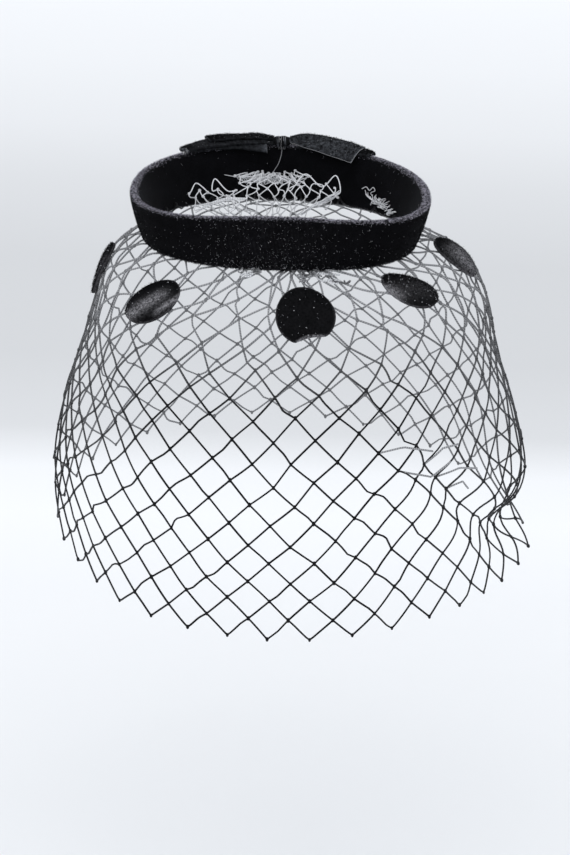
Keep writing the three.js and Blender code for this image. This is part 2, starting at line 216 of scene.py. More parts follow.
# Bow: it lies where the frame's does, but its ribbons run on into the knot
BOW_ARCH_RADIUS = 6 * MM
KNOT_HALF = 5 * MM
KNOT_HALF_SPAN = 4.5 * MM
KNOT_HEIGHT = 4 * MM
KNOT_BLUNTNESS = 0.75
RIBBON_THICKNESS = 1.1 * MM
RIBBON_COLUMNS = 64
RIBBON_ROWS = 21
LEAST_SHEET_WIDTH = 10 * MM  # a sheet can't be declared narrower, though three of the ribbons are
CLOTH_BEVEL = 0.3 * MM
RIBBONS = [
    # stations: along the back rim, front edge, its height, back edge, its height, and arch, in millimetres;
    # edges: how pale the thread along the front edge and the cut end is, a painted sheen on the woven edges;
    # wear: at the cut end, at the fold and all over, and all over on the right tail it is partly painted
    # sheen
    {"name": "loop_left", "turn": -1, "edges": (0, 0.22), "wear_and_sheen": (0.3, 0.5, 0.06), "stations": [
        [4.4, -2.6, 29.8, 2.6, 30.8, 0.4],
        [18, -4.2, 30.4, 5, 32, 0.5],
        [36, -4.2, 30.5, 5, 31.9, 0.5],
        [52, -3.4, 30.6, 4, 31.2, 0.5],
        [56, -3, 30.2, 3.4, 30.5, 0.4],
        [52, -3, 29.3, 3.4, 29.3, 0.8],
        [30, -4.2, 28.6, 3.4, 29.2, 1],
        [9, -6.8, 26.4, 2.6, 28.9, 2.2],
    ]},
    {"name": "tail_left", "turn": -1, "edges": (0, 0), "wear_and_sheen": (0.12, 0, 0.06), "stations": [
        [4.4, -1.6, 31.3, 3.2, 31.9, 0.4],
        [18, -2.2, 32.6, 5.6, 33.7, 0.3],
        [32, -2, 32.9, 5.6, 33.6, 0.3],
        [40.5, -1.2, 33, 5.2, 33.4, 0.3],
    ]},
    {"name": "loop_right", "turn": 1, "edges": (0, 0), "wear_and_sheen": (0.1, 0.15, 0.05), "stations": [
        [4.4, -1.2, 29.9, 2.6, 30.8, 0.4],
        [18, -1.2, 30.7, 4.8, 31.9, 0.5],
        [36, -1.2, 30.4, 4.6, 31.0, 0.4],
        [47, -1.4, 30.1, 4.0, 30.5, 0.3],
        [50.8, -2.6, 29.7, 3.4, 29.9, 0.3],
        [47, -2.8, 28.9, 3.4, 29.0, 0.7],
        [30, -3.6, 28.7, 3.4, 29.1, 0.9],
        [9, -3.6, 28.7, 2.6, 29.2, 1],
    ]},
    # The right tail is paler all over: mottled pile, and partly painted sheen where its pile catches the
    # light
    {"name": "tail_right", "turn": 1, "edges": (0.42, 0.5), "wear_and_sheen": (0.3, 0, 0.2), "stations": [
        [4.4, -2.6, 30.5, 3.2, 32.0, 0.8],
        [14, -5.4, 29.2, 5.2, 33.7, 1.4],
        [26, -7, 27.6, 5.4, 33.6, 1.9],
        [36, -8, 26.4, 4.4, 32.3, 2.3],
        [44.6, -8.6, 25.8, 3, 31.1, 2.2],
    ]},
]

# Bow's threads: radius of each kind; the left loop's frayed fold, along the rim, up and out; stitches, and
# how far from the knot's middle they lie in millimetres; and the hanging end, in millimetres
EDGE_RADIUS = 0.13 * MM
FRAY_RADIUS = 0.1 * MM
STITCH_RADIUS = 0.11 * MM
HANGING_RADIUS = 0.2 * MM
FRAYED_FOLD = (56.2 * MM, 30.2 * MM, -1.5 * MM)
STITCHES = 4
STITCH_SPREAD = 2.8
LOOSE_THREAD = [(-1.2, 73, 33), (0, 72, 27), (-1.6, 69.6, 20), (-5.2, 68.6, 14.2)]

# Floor: its radius in metres, and how light it is at some distances in metres behind the hat
FLOOR_RADIUS = 9
FLOOR_TONES = [(0.0, 0.80), (0.3, 0.82), (0.44, 0.85), (0.53, 0.82), (0.62, 0.65), (0.8, 0.6), (1.1, 0.6),
               (1.4, 0.66), (1.64, 0.73), (2.0, 0.785), (2.5, 0.83)]

# Light: the sky's colour and strength, and each lamp's direction, width in degrees, strength and colour
SKY_COLOR = (0.86, 0.92, 1.0, 1)
SKY_STRENGTH = 0.62
LAMPS = {
    "top light": ((0.05, -0.12, -1), 75, 1.7, (1.0, 0.99, 0.98)),
    "front fill": ((0.35, 0.9, -0.55), 60, 0.56, (1.0, 1.0, 1.0)),
}

# Camera, in millimetres of sensor, metres, radians and pixels of a picture of 570 by 855
SENSOR_WIDTH = 36
PICTURE_HEIGHT = 855
FOCAL_PIXELS = 2660
CAMERA_PLACE = (0.0, -1.348591, 0.375901)
CAMERA_YAW = 0.004551
CAMERA_PITCH = -0.344754
CAMERA_ROLL = math.radians(1.8)


# Numbers

def unit(vectors):
    return vectors / np.maximum(np.linalg.norm(vectors, axis=-1, keepdims=True), 1e-12)


def smooth_step(value, start, end):
    part = np.clip((value - start) / (end - start), 0, 1)
    return part * part * (3 - 2 * part)


def smooth_line(points, shares, closed=False):
    """Places at shares of the way along a smooth line through points."""
    points = np.asarray(points, float)
    if closed:
        padded = np.concatenate([points[-1:], points, points[:2]])
    else:
        before = 2 * points[:1] - points[1:2]
        after = 2 * points[-1:] - points[-2:-1]
        padded = np.concatenate([before, points, after])
    spans = len(padded) - 3
    place = np.clip(np.asarray(shares, float), 0, 1) * spans
    index = np.minimum(place.astype(int), spans - 1)
    part = (place - index)[:, None]
    a, b, c, d = (padded[index + k] for k in range(4))

    def root_length(start, end):
        return np.maximum(np.linalg.norm(end - start, axis=1, keepdims=True), 1e-9) ** 0.5

    ab, bc, cd = root_length(a, b), root_length(b, c), root_length(c, d)
    leave = ((b - a) / ab - (c - a) / (ab + bc) + (c - b) / bc) * bc
    enter = ((c - b) / bc - (d - b) / (bc + cd) + (d - c) / cd) * bc
    square = (-3 * b + 3 * c - 2 * leave - enter) * part**2
    cube = (2 * b - 2 * c + leave + enter) * part**3
    return b + leave * part + square + cube


def smooth_path(points, count):
    """So many places along a smooth line through points."""
    return smooth_line(points, np.linspace(0, 1, count))


def step_lengths(line):
    return np.linalg.norm(np.diff(line, axis=0), axis=1)


def run_along(line):
    """How far along a line each of its points is."""
    return np.concatenate([[0], np.cumsum(step_lengths(line))])


def even_steps(line, count):
    """The same line at evenly spaced places, and its length."""
    run = run_along(line)
    wanted = np.linspace(0, run[-1], count)
    return np.stack([np.interp(wanted, run, line[:, k]) for k in range(line.shape[1])], axis=1), run[-1]


def half_turn(share):
    """The same share of a turn, from -0.5 to 0.5."""
    return np.mod(share + 0.5, 1) - 0.5


def nearest(points, place):
    return points[np.argmin(np.linalg.norm(points - place, axis=1))]


def draws_for(step):
    return np.random.default_rng(SEEDS[step])


class Ripple:
    """A smooth random wave over the net, mostly from -1 to 1, that meets itself all the way round."""

    def __init__(self, random, turns, falls, waves):
        self.turns = random.integers(turns[0], turns[1] + 1, waves) * random.choice([-1, 1], waves)
        self.falls = random.uniform(falls[0], falls[1], waves)
        self.starts = random.uniform(0, FULL_TURN, waves)

    def __call__(self, share, drop):
        phase = share[..., None] * self.turns + drop[..., None] / VEIL_LENGTH * self.falls
        return np.sin(FULL_TURN * phase + self.starts).mean(axis=-1) * 1.6


# Surfaces of the hat

def band_point(angle, height, offset):
    """A place of the band: round the head, up from its lower rim, and out from the wall's middle."""
    angle, height, offset = np.broadcast_arrays(*(np.asarray(v, float) for v in (angle, height, offset)))
    side, front = np.sin(angle), np.cos(angle)
    share = height / BAND_HEIGHT
    squareness = (np.abs(side) ** PLAN_POWER + np.abs(front) ** PLAN_POWER) ** (-1 / PLAN_POWER)
    radius = BAND_RADIUS_BOTTOM + (BAND_RADIUS_TOP - BAND_RADIUS_BOTTOM) * share - BAND_WALL / 2 + offset
    corner = np.where(front > 0, np.sin(2 * angle) ** 2, 0)
    dip = -SIDE_RISE_BOTTOM + (SIDE_DIP_TOP + SIDE_RISE_BOTTOM) * share
    x = radius * squareness * side
    y = -radius * squareness * front - EGG_SHIFT * (radius / BAND_RADIUS_TOP) * side**2
    z = height - dip * side**2 - FRONT_CORNER_DIP * share * corner
    return np.stack([x, y, z], axis=-1)


class VeilSurface:
    """The surface that the net hangs in: a share of the way round, and a drop from the heading."""

    sides = 360
    steps = 210

    def __init__(self):
        shares = np.arange(self.sides) / self.sides
        angles = FULL_TURN * shares
        clear = BAND_WALL / 2 + GAP + NET_THICKNESS / 2
        rim = BAND_WALL / 2
        lines = [band_point(angles, HEADING_HEIGHT, -clear)]
        for turn in np.radians([180, 225, 270]):
            lines.append(band_point(angles, rim + clear * np.sin(turn), clear * np.cos(turn)))
        lines.append(band_point(angles, rim - clear - NET_THICKNESS / 2, RIM_TURN_OUT))
        section_angles = FULL_TURN * np.arange(len(VEIL_SECTIONS)) / len(VEIL_SECTIONS)
        for level in range(VEIL_SECTIONS.shape[1]):
            reach, height = VEIL_SECTIONS[:, level].T
            ring = np.stack([reach * np.sin(section_angles), -reach * np.cos(section_angles), height], axis=1)
            lines.append(smooth_line(ring, shares, closed=True))
        lines = np.stack(lines)
        made = [even_steps(smooth_path(lines[:, side], 241), self.steps + 1) for side in range(self.sides)]
        self.table = np.stack([line for line, _ in made])
        self.lengths = np.array([length for _, length in made])

    def point(self, share, drop):
        around = np.mod(share, 1) * self.sides
        down = np.clip(drop / VEIL_LENGTH, 0, 1 - 1e-9) * self.steps
        i, j = np.floor(around).astype(int) % self.sides, np.floor(down).astype(int)
        f, g = (around - np.floor(around))[..., None], (down - j)[..., None]
        k = (i + 1) % self.sides
        upper = self.table[i, j] * (1 - f) + self.table[k, j] * f
        lower = self.table[i, j + 1] * (1 - f) + self.table[k, j + 1] * f
        return upper * (1 - g) + lower * g

    def normal(self, share, drop):
        around = self.point(share + 0.003, drop) - self.point(share - 0.003, drop)
        down = self.point(share, drop + 2 * MM) - self.point(share, drop - 2 * MM)
        return unit(np.cross(down, around))

    def girth(self, drop):
        ring = self.point(np.linspace(0, 1, self.sides + 1), np.full(self.sides + 1, drop))
        return step_lengths(ring).sum()

    def share_of_column(self, column, columns):
        """Columns of mesh stand evenly round the ring at jaw height."""
        shares = np.linspace(0, 1, self.sides + 1)
        ring = self.point(shares, np.full(self.sides + 1, JAW_DROP))
        run = run_along(ring)
        return np.interp(np.mod(column / columns, 1), run / run[-1], shares)


def dot_tilt(dot, across, up):
    """How far the net stands out with a tilted dot, at places that are in radii of the dot."""
    turn, rise = math.radians(dot["tilt"][0]), dot["tilt"][1] * MM
    away = np.maximum(np.hypot(across, up) - 1, 0)
    return rise * (across * math.cos(turn) + up * math.sin(turn)) * np.exp(-((away / 0.5) ** 2))


def crown_point(across, along):
    """A place of the crown net: across from -1 to 1, and along from the front, 0, to the back, 1."""
    half_width, middle, height = smooth_line(CROWN_SECTIONS, along.ravel()).reshape(along.shape + (3,)).T
    half_width, middle, height = half_width.T, middle.T, height.T
    x = half_width * across
    side = np.abs(x) / BAND_RADIUS_BOTTOM
    y = middle * (1 - side**PLAN_POWER) ** (1 / PLAN_POWER)
    return np.stack([x, y, height - CROWN_DROOP * side**2], axis=-1)


def bow_point(along, across, lift):
    """A place of the bow: along the back rim from its middle, across the rim, and lifted off it."""
    angle = math.pi - along / BAND_RADIUS_TOP
    slope = across / BOW_ARCH_RADIUS
    steep = np.hypot(1, slope)
    height = BAND_HEIGHT - across * slope / 2 + lift / steep
    return band_point(angle, height, across + lift * slope / steep)


# Meshes

class Threads:
    """Collects round threads and makes one mesh of them, with a UV map: along each thread and round it."""

    def __init__(self, sides):
        self.sides = sides
        self.points = []
        self.pale_and_highlight = []
        self.faces = []
        self.corners = []
        self.count = 0

    def add(self, paths, radius, pale_and_highlight=0.0):
        """Adds threads along paths, an array of threads by points by coordinates."""
        paths = np.asarray(paths, float)
        threads, steps = paths.shape[:2]
        tangent = unit(np.gradient(paths, axis=1))
        least = np.eye(3)[np.argmin(np.abs(tangent[:, 0]), axis=1)]
        side = np.empty_like(paths)
        side[:, 0] = unit(np.cross(tangent[:, 0], least))
        for step in range(1, steps):
            previous = side[:, step - 1]
            lean = np.sum(previous * tangent[:, step], axis=1, keepdims=True)
            side[:, step] = unit(previous - lean * tangent[:, step])
        up = np.cross(tangent, side)
        turn = FULL_TURN * np.arange(self.sides) / self.sides
        round_ = np.cos(turn)[:, None] * side[:, :, None] + np.sin(turn)[:, None] * up[:, :, None]
        thickness = np.broadcast_to(np.asarray(radius, float), (threads, steps))[:, :, None, None]
        self.points.append((paths[:, :, None] + thickness * round_).reshape(-1, 3))
        tone = np.broadcast_to(np.asarray(pale_and_highlight, float), (threads, steps))
        self.pale_and_highlight.append(np.repeat(tone.ravel(), self.sides))

        number = self.count + np.arange(threads * steps * self.sides).reshape(threads, steps, self.sides)
        beside = np.roll(number, -1, axis=2)
        walls = np.stack([number[:, :-1], beside[:, :-1], beside[:, 1:], number[:, 1:]], axis=-1)
        self.faces += walls.reshape(-1, 4).tolist()
        self.faces += number[:, 0, ::-1].tolist() + number[:, -1].tolist()
        self.count += number.size

        gaps = np.linalg.norm(np.diff(paths, axis=1), axis=2)
        run = np.concatenate([np.zeros((threads, 1)), np.cumsum(gaps, axis=1)], axis=1) / MM
        share = np.arange(self.sides + 1) / self.sides
        shape = (threads, steps - 1, self.sides)
        near = np.broadcast_to(run[:, :-1, None], shape)
        far = np.broadcast_to(run[:, 1:, None], shape)
        low = np.broadcast_to(share[:-1], shape)
        high = np.broadcast_to(share[1:], shape)
        wall_corners = np.stack([near, low, near, high, far, high, far, low], axis=-1)
        self.corners.append(wall_corners.reshape(-1, 2))
        for end, order in ((0, share[-2::-1]), (-1, share[:-1])):
            cap = np.empty((threads, self.sides, 2))
            cap[..., 0] = run[:, end, None]
            cap[..., 1] = order
            self.corners.append(cap.reshape(-1, 2))

    def mesh(self):
        mesh = bpy.data.meshes.new("threads")
        mesh.from_pydata(np.concatenate(self.points), [], self.faces)
        mesh.uv_layers.new(name="thread").data.foreach_set("uv", np.concatenate(self.corners).ravel())
        set_attribute(mesh, "pale_and_highlight", np.concatenate(self.pale_and_highlight))
        return mesh


def set_attribute(mesh, name, values):
    layer = mesh.attributes.new(name, "FLOAT", "POINT")
    layer.data.foreach_set("value", np.asarray(values, np.float32).ravel())


def mesh_points(mesh):
    points = np.empty(len(mesh.vertices) * 3)
    mesh.vertices.foreach_get("co", points)
    return points.reshape(-1, 3)


def place_points(mesh, points):
    mesh.vertices.foreach_set("co", np.asarray(points, float).ravel())
    mesh.update()


def mesh_from(bm):
    mesh = bpy.data.meshes.new("shape")
    bm.to_mesh(mesh)
    bm.free()
    return mesh


def grid_mesh(columns, rows):
    """A flat grid from -1 to 1 both ways."""
    bm = bmesh.new()
    bmesh.ops.create_grid(bm, x_segments=columns, y_segments=rows, size=1)
    return mesh_from(bm)


def scatter_mesh(unit_mesh, places, frames, sizes):
    """One mesh of many copies of a small shape, each with its place, axes and sizes along them."""
    shape = mesh_points(unit_mesh)
    copies = np.einsum("nk,ck,cki->cni", shape, sizes, frames) + places[:, None]
    faces = [list(face.vertices) for face in unit_mesh.polygons]
    steps = np.arange(len(places)) * len(shape)
    all_faces = [[corner + step for corner in face] for step in steps.tolist() for face in faces]
    mesh = bpy.data.meshes.new("copies")
    mesh.from_pydata(copies.reshape(-1, 3), [], all_faces)
    return mesh


def add_piece(name, mesh, material, replaces=(), smooth=True):
    """Makes an object of a mesh, which rides on the hat and stands for the CAD nodes it replaces."""
    mesh.name = name
    mesh.materials.append(material)
    if smooth:
        mesh.shade_smooth()
    piece = bpy.data.objects.new(name, mesh)
    bpy.context.scene.collection.objects.link(piece)
    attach(piece, "root")
    if replaces:
        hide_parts(*replaces)
    return piece


def thicken(piece, thickness):
    """Gives a thin piece its thickness and soft edges."""
    wall = piece.modifiers.new("thickness", "SOLIDIFY")
    wall.thickness = thickness
    wall.offset = 0
    wall.use_even_offset = True
    edge = piece.modifiers.new("soft edge", "BEVEL")
    edge.width = CLOTH_BEVEL
    edge.segments = 2
    edge.limit_method = "ANGLE"
    edge.angle_limit = math.radians(50)


# Materials

def new_material(name):
    material = bpy.data.materials.new(name)
    material.use_nodes = True
    return material, material.node_tree, material.node_tree.nodes["Principled BSDF"]


def add_node(tree, kind, options=None, inputs=None):
    node = tree.nodes.new(kind)
    for key, value in (options or {}).items():
        setattr(node, key, value)
    for key, value in (inputs or {}).items():
        if isinstance(value, bpy.types.NodeSocket):
            tree.links.new(value, node.inputs[key])
        else:
            node.inputs[key].default_value = value
    return node


def calculate(tree, operation, first, second=0.0, clamp=False, third=0.0):
    options = {"operation": operation, "use_clamp": clamp}
    return add_node(tree, "ShaderNodeMath", options, {0: first, 1: second, 2: third}).outputs[0]


def blend(tree, factor, first, second):
    node = add_node(tree, "ShaderNodeMix", {"data_type": "RGBA"}, {0: factor, 6: first, 7: second})
    return node.outputs[2]


def noise(tree, vector, scale, detail=2.0, roughness=0.5):
    inputs = {"Vector": vector, "Scale": scale, "Detail": detail, "Roughness": roughness}
    return add_node(tree, "ShaderNodeTexNoise", None, inputs).outputs[0]


def remap(tree, value, low, high):
    inputs = {"Value": value, "From Min": low, "From Max": high}
    return add_node(tree, "ShaderNodeMapRange", None, inputs).outputs[0]


def attribute(tree, name):
    return add_node(tree, "ShaderNodeAttribute", {"attribute_name": name}).outputs["Fac"]


def bump(tree, height, strength, distance):
    inputs = {"Height": height, "Strength": strength, "Distance": distance}
    return add_node(tree, "ShaderNodeBump", None, inputs).outputs[0]


def rgba(color, gain=1.0):
    return tuple(min(1.0, channel * gain) for channel in color[:3]) + (1.0,)


def object_place(tree):
    return add_node(tree, "ShaderNodeTexCoord").outputs["Object"]


def dress(tree, shader, color, roughness, shine, normal=None):
    """Gives a shader its colour, roughness, shine and bumps."""
    tree.links.new(color, shader.inputs["Base Color"])
    shader.inputs["Roughness"].default_value = roughness
    shader.inputs["Specular IOR Level"].default_value = shine
    if normal is not None:
        tree.links.new(normal, shader.inputs["Normal"])


def ribbing(tree, place, ribs):
    """Slanted ribs, so many of them round the band's axis."""
    turn = add_node(tree, "ShaderNodeTexGradient", {"gradient_type": "RADIAL"}, {"Vector": place})
    flat = add_node(tree, "ShaderNodeVectorMath", {"operation": "MULTIPLY"}, {0: place, 1: (1, 1, 0)})
    out = add_node(tree, "ShaderNodeVectorMath", {"operation": "LENGTH"}, {0: flat.outputs[0]})
    slant = calculate(tree, "MULTIPLY", out.outputs["Value"], RIB_SLANT)
    phase = calculate(tree, "MULTIPLY_ADD", turn.outputs[1], ribs * FULL_TURN, third=slant)
    return remap(tree, calculate(tree, "SINE", phase), -1.5, 0.5)


def velvet_material(name, pile, worn_and_lit, ribs=0, mottle=(620, 0.42, 0.62)):
    """Short black pile, mottled by brushing, and a paler colour where the attribute says: scuffed pile, and
    in places painted sheen.
    """
    material, tree, shader = new_material(name)
    place = object_place(tree)
    tufts = noise(tree, place, 1500, 3, 0.6)
    brushing = noise(tree, place, 110, 3, 0.55)
    grain = remap(tree, tufts, 0.3, 0.7)
    shade = calculate(tree, "MULTIPLY", remap(tree, brushing, 0.35, 0.68), 0.55)
    tone = blend(tree, calculate(tree, "MULTIPLY", grain, 0.25), rgba(pile, 0.55), rgba(pile, 1.5))
    tone = blend(tree, calculate(tree, "MULTIPLY", shade, grain), tone, rgba(pile, 2.6))
    scale, low, high = mottle
    patchy = remap(tree, noise(tree, place, scale, 4, 0.68), low, high)
    rubbed_and_lit = calculate(tree, "MULTIPLY", attribute(tree, "wear_and_sheen"), patchy, True)
    if ribs:
        rubbed_and_lit = calculate(tree, "MULTIPLY", rubbed_and_lit, ribbing(tree, place, ribs), True)
    color = blend(tree, rubbed_and_lit, tone, rgba(worn_and_lit))
    dress(tree, shader, color, 0.95, 0.06, bump(tree, tufts, 0.55, 0.0004))
    shader.inputs["Sheen Weight"].default_value = 0.02
    shader.inputs["Sheen Roughness"].default_value = 0.35
    shader.inputs["Sheen Tint"].default_value = (0.72, 0.74, 0.86, 1)
    return material


def thread_material(name, dark, pale_and_highlight, dash=-2.2):
    """Two-ply thread: painted pale where the attribute says, mostly a painted highlight of light from above,
    with the twist showing as slanted dashes.
    """
    material, tree, shader = new_material(name)
    uv = add_node(tree, "ShaderNodeUVMap", {"uv_map": "thread"}).outputs[0]
    split = add_node(tree, "ShaderNodeSeparateXYZ", None, {0: uv})
    along = calculate(tree, "MULTIPLY", split.outputs[0], FULL_TURN / TWIST_LENGTH)
    phase = calculate(tree, "ADD", along, calculate(tree, "MULTIPLY", split.outputs[1], FULL_TURN))
    twist = calculate(tree, "SINE", phase)
    fade = calculate(tree, "MULTIPLY", attribute(tree, "pale_and_highlight"), remap(tree, twist, dash, 0.5), True)
    color = blend(tree, fade, rgba(dark), rgba(pale_and_highlight))
    dress(tree, shader, color, 0.4, 0.12, bump(tree, twist, 0.7, 0.0001))
    return material


def nap_material(name, color, brightest=1.7):
    """Raised fibres, some lighter and some darker."""
    material, tree, shader = new_material(name)
    place = object_place(tree)
    tuft = remap(tree, noise(tree, place, 900, 2), 0.4, 0.62)
    tone = blend(tree, tuft, rgba(color, 0.2), rgba(color, brightest))
    dress(tree, shader, tone, 0.95, 0.1, bump(tree, noise(tree, place, 4000, 2), 0.3, 0.0001))
    return material


def lint_material(name, pale, dusty):
    """Specks and fibres of pale lint, each a little lighter or darker than the next."""
    material, tree, shader = new_material(name)
    place = object_place(tree)
    color = blend(tree, remap(tree, noise(tree, place, 260, 1), 0.35, 0.65), rgba(dusty), rgba(pale))
    dress(tree, shader, color, 0.9, 0.2, bump(tree, noise(tree, place, 3000, 2), 0.3, 0.0001))
    return material


def floor_material(name, color):
    """A plain pale sweep: light under the hat, deeper behind it, and light again far off."""
    material, tree, shader = new_material(name)
    depth = add_node(tree, "ShaderNodeSeparateXYZ", None, {0: object_place(tree)}).outputs[1]
    reach = FLOOR_TONES[-1][0]
    ramp = add_node(tree, "ShaderNodeValToRGB", None, {0: remap(tree, depth, 0.0, reach)})
    tones = ramp.color_ramp.elements
    for distance, _ in FLOOR_TONES[1:-1]:
        tones.new(distance / reach)
    for element, (_, tone) in zip(tones, FLOOR_TONES):
        element.color = rgba(color, tone)
    dress(tree, shader, ramp.outputs[0], 0.9, 0.1)
    return material


# Settings

def color_setting(name, description, default):
    return bpy.props.FloatVectorProperty(
        name=name, description=description, default=default, size=3, min=0, max=1, subtype="COLOR")


def length_setting(name, description, default):
    return bpy.props.FloatProperty(
        name=name, description=description, default=default, min=0, unit="LENGTH", precision=5)


def count_setting(name, description, default, least=0):
    return bpy.props.IntProperty(name=name, description=description, default=default, min=least)


class BandSettings(bpy.types.PropertyGroup):
    pile: color_setting("Pile", "Colour of the velvet's pile", (0.0026, 0.0026, 0.0033))
    # Rim colour: scuffed pile, and painted sheen where light from above catches the top rim
    worn_and_lit: color_setting("Worn rim", "Colour of the pile where the rim is rubbed", (0.13, 0.125, 0.142))
    rim_fibres: count_setting("Rim fibres", "Fibres of raised nap on the top rim", 26000)
    wall_fibres: count_setting("Wall fibres", "Fibres of nap on the outside of the wall", 30000)
    lint_specks: count_setting("Lint", "Specks and fibres of lint on the band", 1050)


class NetSettings(bpy.types.PropertyGroup):
    columns: count_setting("Columns", "Meshes round the veil", 35, 8)
    strand: length_setting("Strand", "Length of thread between two knots", 15.1 * MM)
    thread: length_setting("Thread", "Diameter of the net's thread", 1.02 * MM)
    knot: length_setting("Knot", "Size of a knot of the net", 2.0 * MM)
    dark: color_setting("Thread colour", "Colour of the thread", (0.006, 0.006, 0.007))
    # Lit thread: the pale colour of the painted highlight on the black thread, where light from above catches
    # it
    pale_and_highlight: color_setting("Lit thread", "Colour of faded and shiny thread", (0.82, 0.82, 0.84))


class DotSettings(bpy.types.PropertyGroup):
    pile: color_setting("Pile", "Colour of the dots' pile", (0.0028, 0.0028, 0.0034))
    # Paler pile of the dots: brushed patches, and on the right side dot painted sheen
    brushed_and_lit: color_setting("Brushed pile", "Colour of the pile where it is brushed", (0.27, 0.263, 0.277))
    fibres: count_setting("Fibres", "Fibres of nap on the dots", 20000)


class BowSettings(bpy.types.PropertyGroup):
    pile: color_setting("Pile", "Colour of the ribbon's pile", (0.0036, 0.0037, 0.0044))
    # Paler pile of the ribbons: scuffed cut ends and folds, and on the right tail painted sheen
    paler_pile_and_sheen: color_setting("Selvedge", "Colour of the ribbon's woven edges", (0.34, 0.36, 0.40))
    thickness: length_setting("Thickness", "Thickness of the ribbon", RIBBON_THICKNESS)
    fibres: count_setting("Fibres", "Fibres of nap on the ribbons", 20000)


class StageSettings(bpy.types.PropertyGroup):
    floor_height: length_setting("Floor drop", "How far the floor lies below the hat's band", 0.335)
    floor: color_setting("Floor", "Tint of the floor", (0.985, 0.99, 1.0))


SETTINGS = {
    "hat_band": BandSettings,
    "hat_net": NetSettings,
    "hat_dots": DotSettings,
    "hat_bow": BowSettings,
    "hat_stage": StageSettings,
}


# Band

def band_profile():
    """The wall's section: round rims, and sides that swell a little."""
    half = BAND_WALL / 2
    low, high = half, BAND_HEIGHT - half
    profile = []
    for share in np.linspace(0, 1, 9)[:-1]:
        swell = 4 * BAND_BULGE * share * (1 - share)
        profile.append((half + swell, low + (high - low) * share))
    for turn in np.linspace(0, math.pi, 11)[:-1]:
        profile.append((half * math.cos(turn), high + half * math.sin(turn)))
    for share in np.linspace(1, 0, 7)[:-1]:
        profile.append((-half, low + (high - low) * share))
    for turn in np.linspace(math.pi, FULL_TURN, 11)[:-1]:
        profile.append((half * math.cos(turn), low + half * math.sin(turn)))
    return profile


def band_mesh(random):
    """The band's wall, a little uneven, and where its pile is paler: scuffed on its rims, with painted sheen
    on the top rim, and some dust on its front.
    """
    bm = bmesh.new()
    ring = [bm.verts.new((BAND_RADIUS_TOP + out, 0, up)) for out, up in band_profile()]
    edges = [bm.edges.new((ring[i - 1], ring[i])) for i in range(len(ring))]
    bmesh.ops.spin(bm, geom=ring + edges, cent=(0, 0, 0), axis=(0, 0, 1), angle=FULL_TURN,
                   steps=BAND_STEPS, use_merge=True)
    bmesh.ops.remove_doubles(bm, verts=bm.verts, dist=1e-6)
    bmesh.ops.recalc_face_normals(bm, faces=bm.faces)
    mesh = mesh_from(bm)
    x, y, height = mesh_points(mesh).T
    angle = np.arctan2(x, -y)
    offset = np.hypot(x, y) - BAND_RADIUS_TOP
    share = angle / FULL_TURN
    uneven = Ripple(random, (9, 40), (2, 6), 12)(share, height * 6) * 0.22 * MM
    outward = np.where(offset > 0, 1, -1)
    place_points(mesh, band_point(angle, height, offset + uneven * outward * (np.abs(offset) > 1 * MM)))
    # Top rim crest: scuffed pile, and painted sheen where light from above catches the crest
    crest = 0.75 * smooth_step(height, BAND_HEIGHT - 1.5 * MM, BAND_HEIGHT - 0.3 * MM)
    patchy = 0.75 + 0.35 * Ripple(random, (3, 17), (1, 3), 9)(share, height)
    lower = 0.35 * smooth_step(-height, -1.6 * MM, -0.1 * MM)
    dust = 0.06 * np.exp(-(((angle + 0.05) / 0.5) ** 2)) * (offset > 0)
    set_attribute(mesh, "wear_and_sheen", np.clip(crest * patchy * rim_wear_and_sheen(angle) + lower + dust, 0, 1))
    return mesh


def rim_wear_and_sheen(angle):
    """How much of the rim is scuffed and painted with sheen: less on the left."""
    return 1 - 0.5 * smooth_step(-np.sin(angle), 0.1, 0.9)


def band_face(height):
    """How far the outside of the wall lies from its middle."""
    share = np.clip((height - BAND_WALL / 2) / (BAND_HEIGHT - BAND_WALL), 0, 1)
    return BAND_WALL / 2 + 4 * BAND_BULGE * share * (1 - share)


def band_normal(angle, height, offset):
    around = band_point(angle + 0.01, height, offset) - band_point(angle - 0.01, height, offset)
    upward = band_point(angle, height + 0.5 * MM, offset) - band_point(angle, height - 0.5 * MM, offset)
    return unit(np.cross(around, upward))


def nap_mesh(feet, normals, fibre, random):
    """Short fibres of pile that stand on a surface, each leaning its own way."""
    count = len(feet)
    length, width = fibre
    axis = unit(normals + random.normal(0, 0.35, (count, 3)))
    first = unit(np.cross(axis, random.normal(0, 1, (count, 3))))
    second = np.cross(axis, first)
    thick = random.uniform(0.6, 1, count) * width
    sizes = np.stack([thick, thick, random.uniform(0.5, 1, count) * length], axis=1)
    bm = bmesh.new()
    bmesh.ops.create_cone(bm, cap_ends=True, segments=3, radius1=1, radius2=0, depth=1)
    bmesh.ops.translate(bm, verts=bm.verts, vec=(0, 0, 0.4))
    spike = mesh_from(bm)
    mesh = scatter_mesh(spike, feet, np.stack([first, second, axis], axis=1), sizes)
    bpy.data.meshes.remove(spike)
    return mesh


def rim_nap_mesh(count, upward, random):
    """Nap that stands along the top rim, or along the lower one."""
    angle = random.uniform(0, FULL_TURN, count)
    angle = angle[random.random(count) < rim_wear_and_sheen(angle)]
    count = len(angle)
    turn = random.normal(math.pi / 2, 0.5 if upward else 0.75, count) * (1 if upward else -1)
    half = BAND_WALL / 2
    middle = BAND_HEIGHT - half if upward else half
    out, up = np.cos(turn), np.sin(turn)
    feet = band_point(angle, middle + half * up, half * out)
    outer = band_point(angle, middle + (half + MM) * up, (half + MM) * out)
    return nap_mesh(feet, unit(outer - feet), RIM_NAP, random)


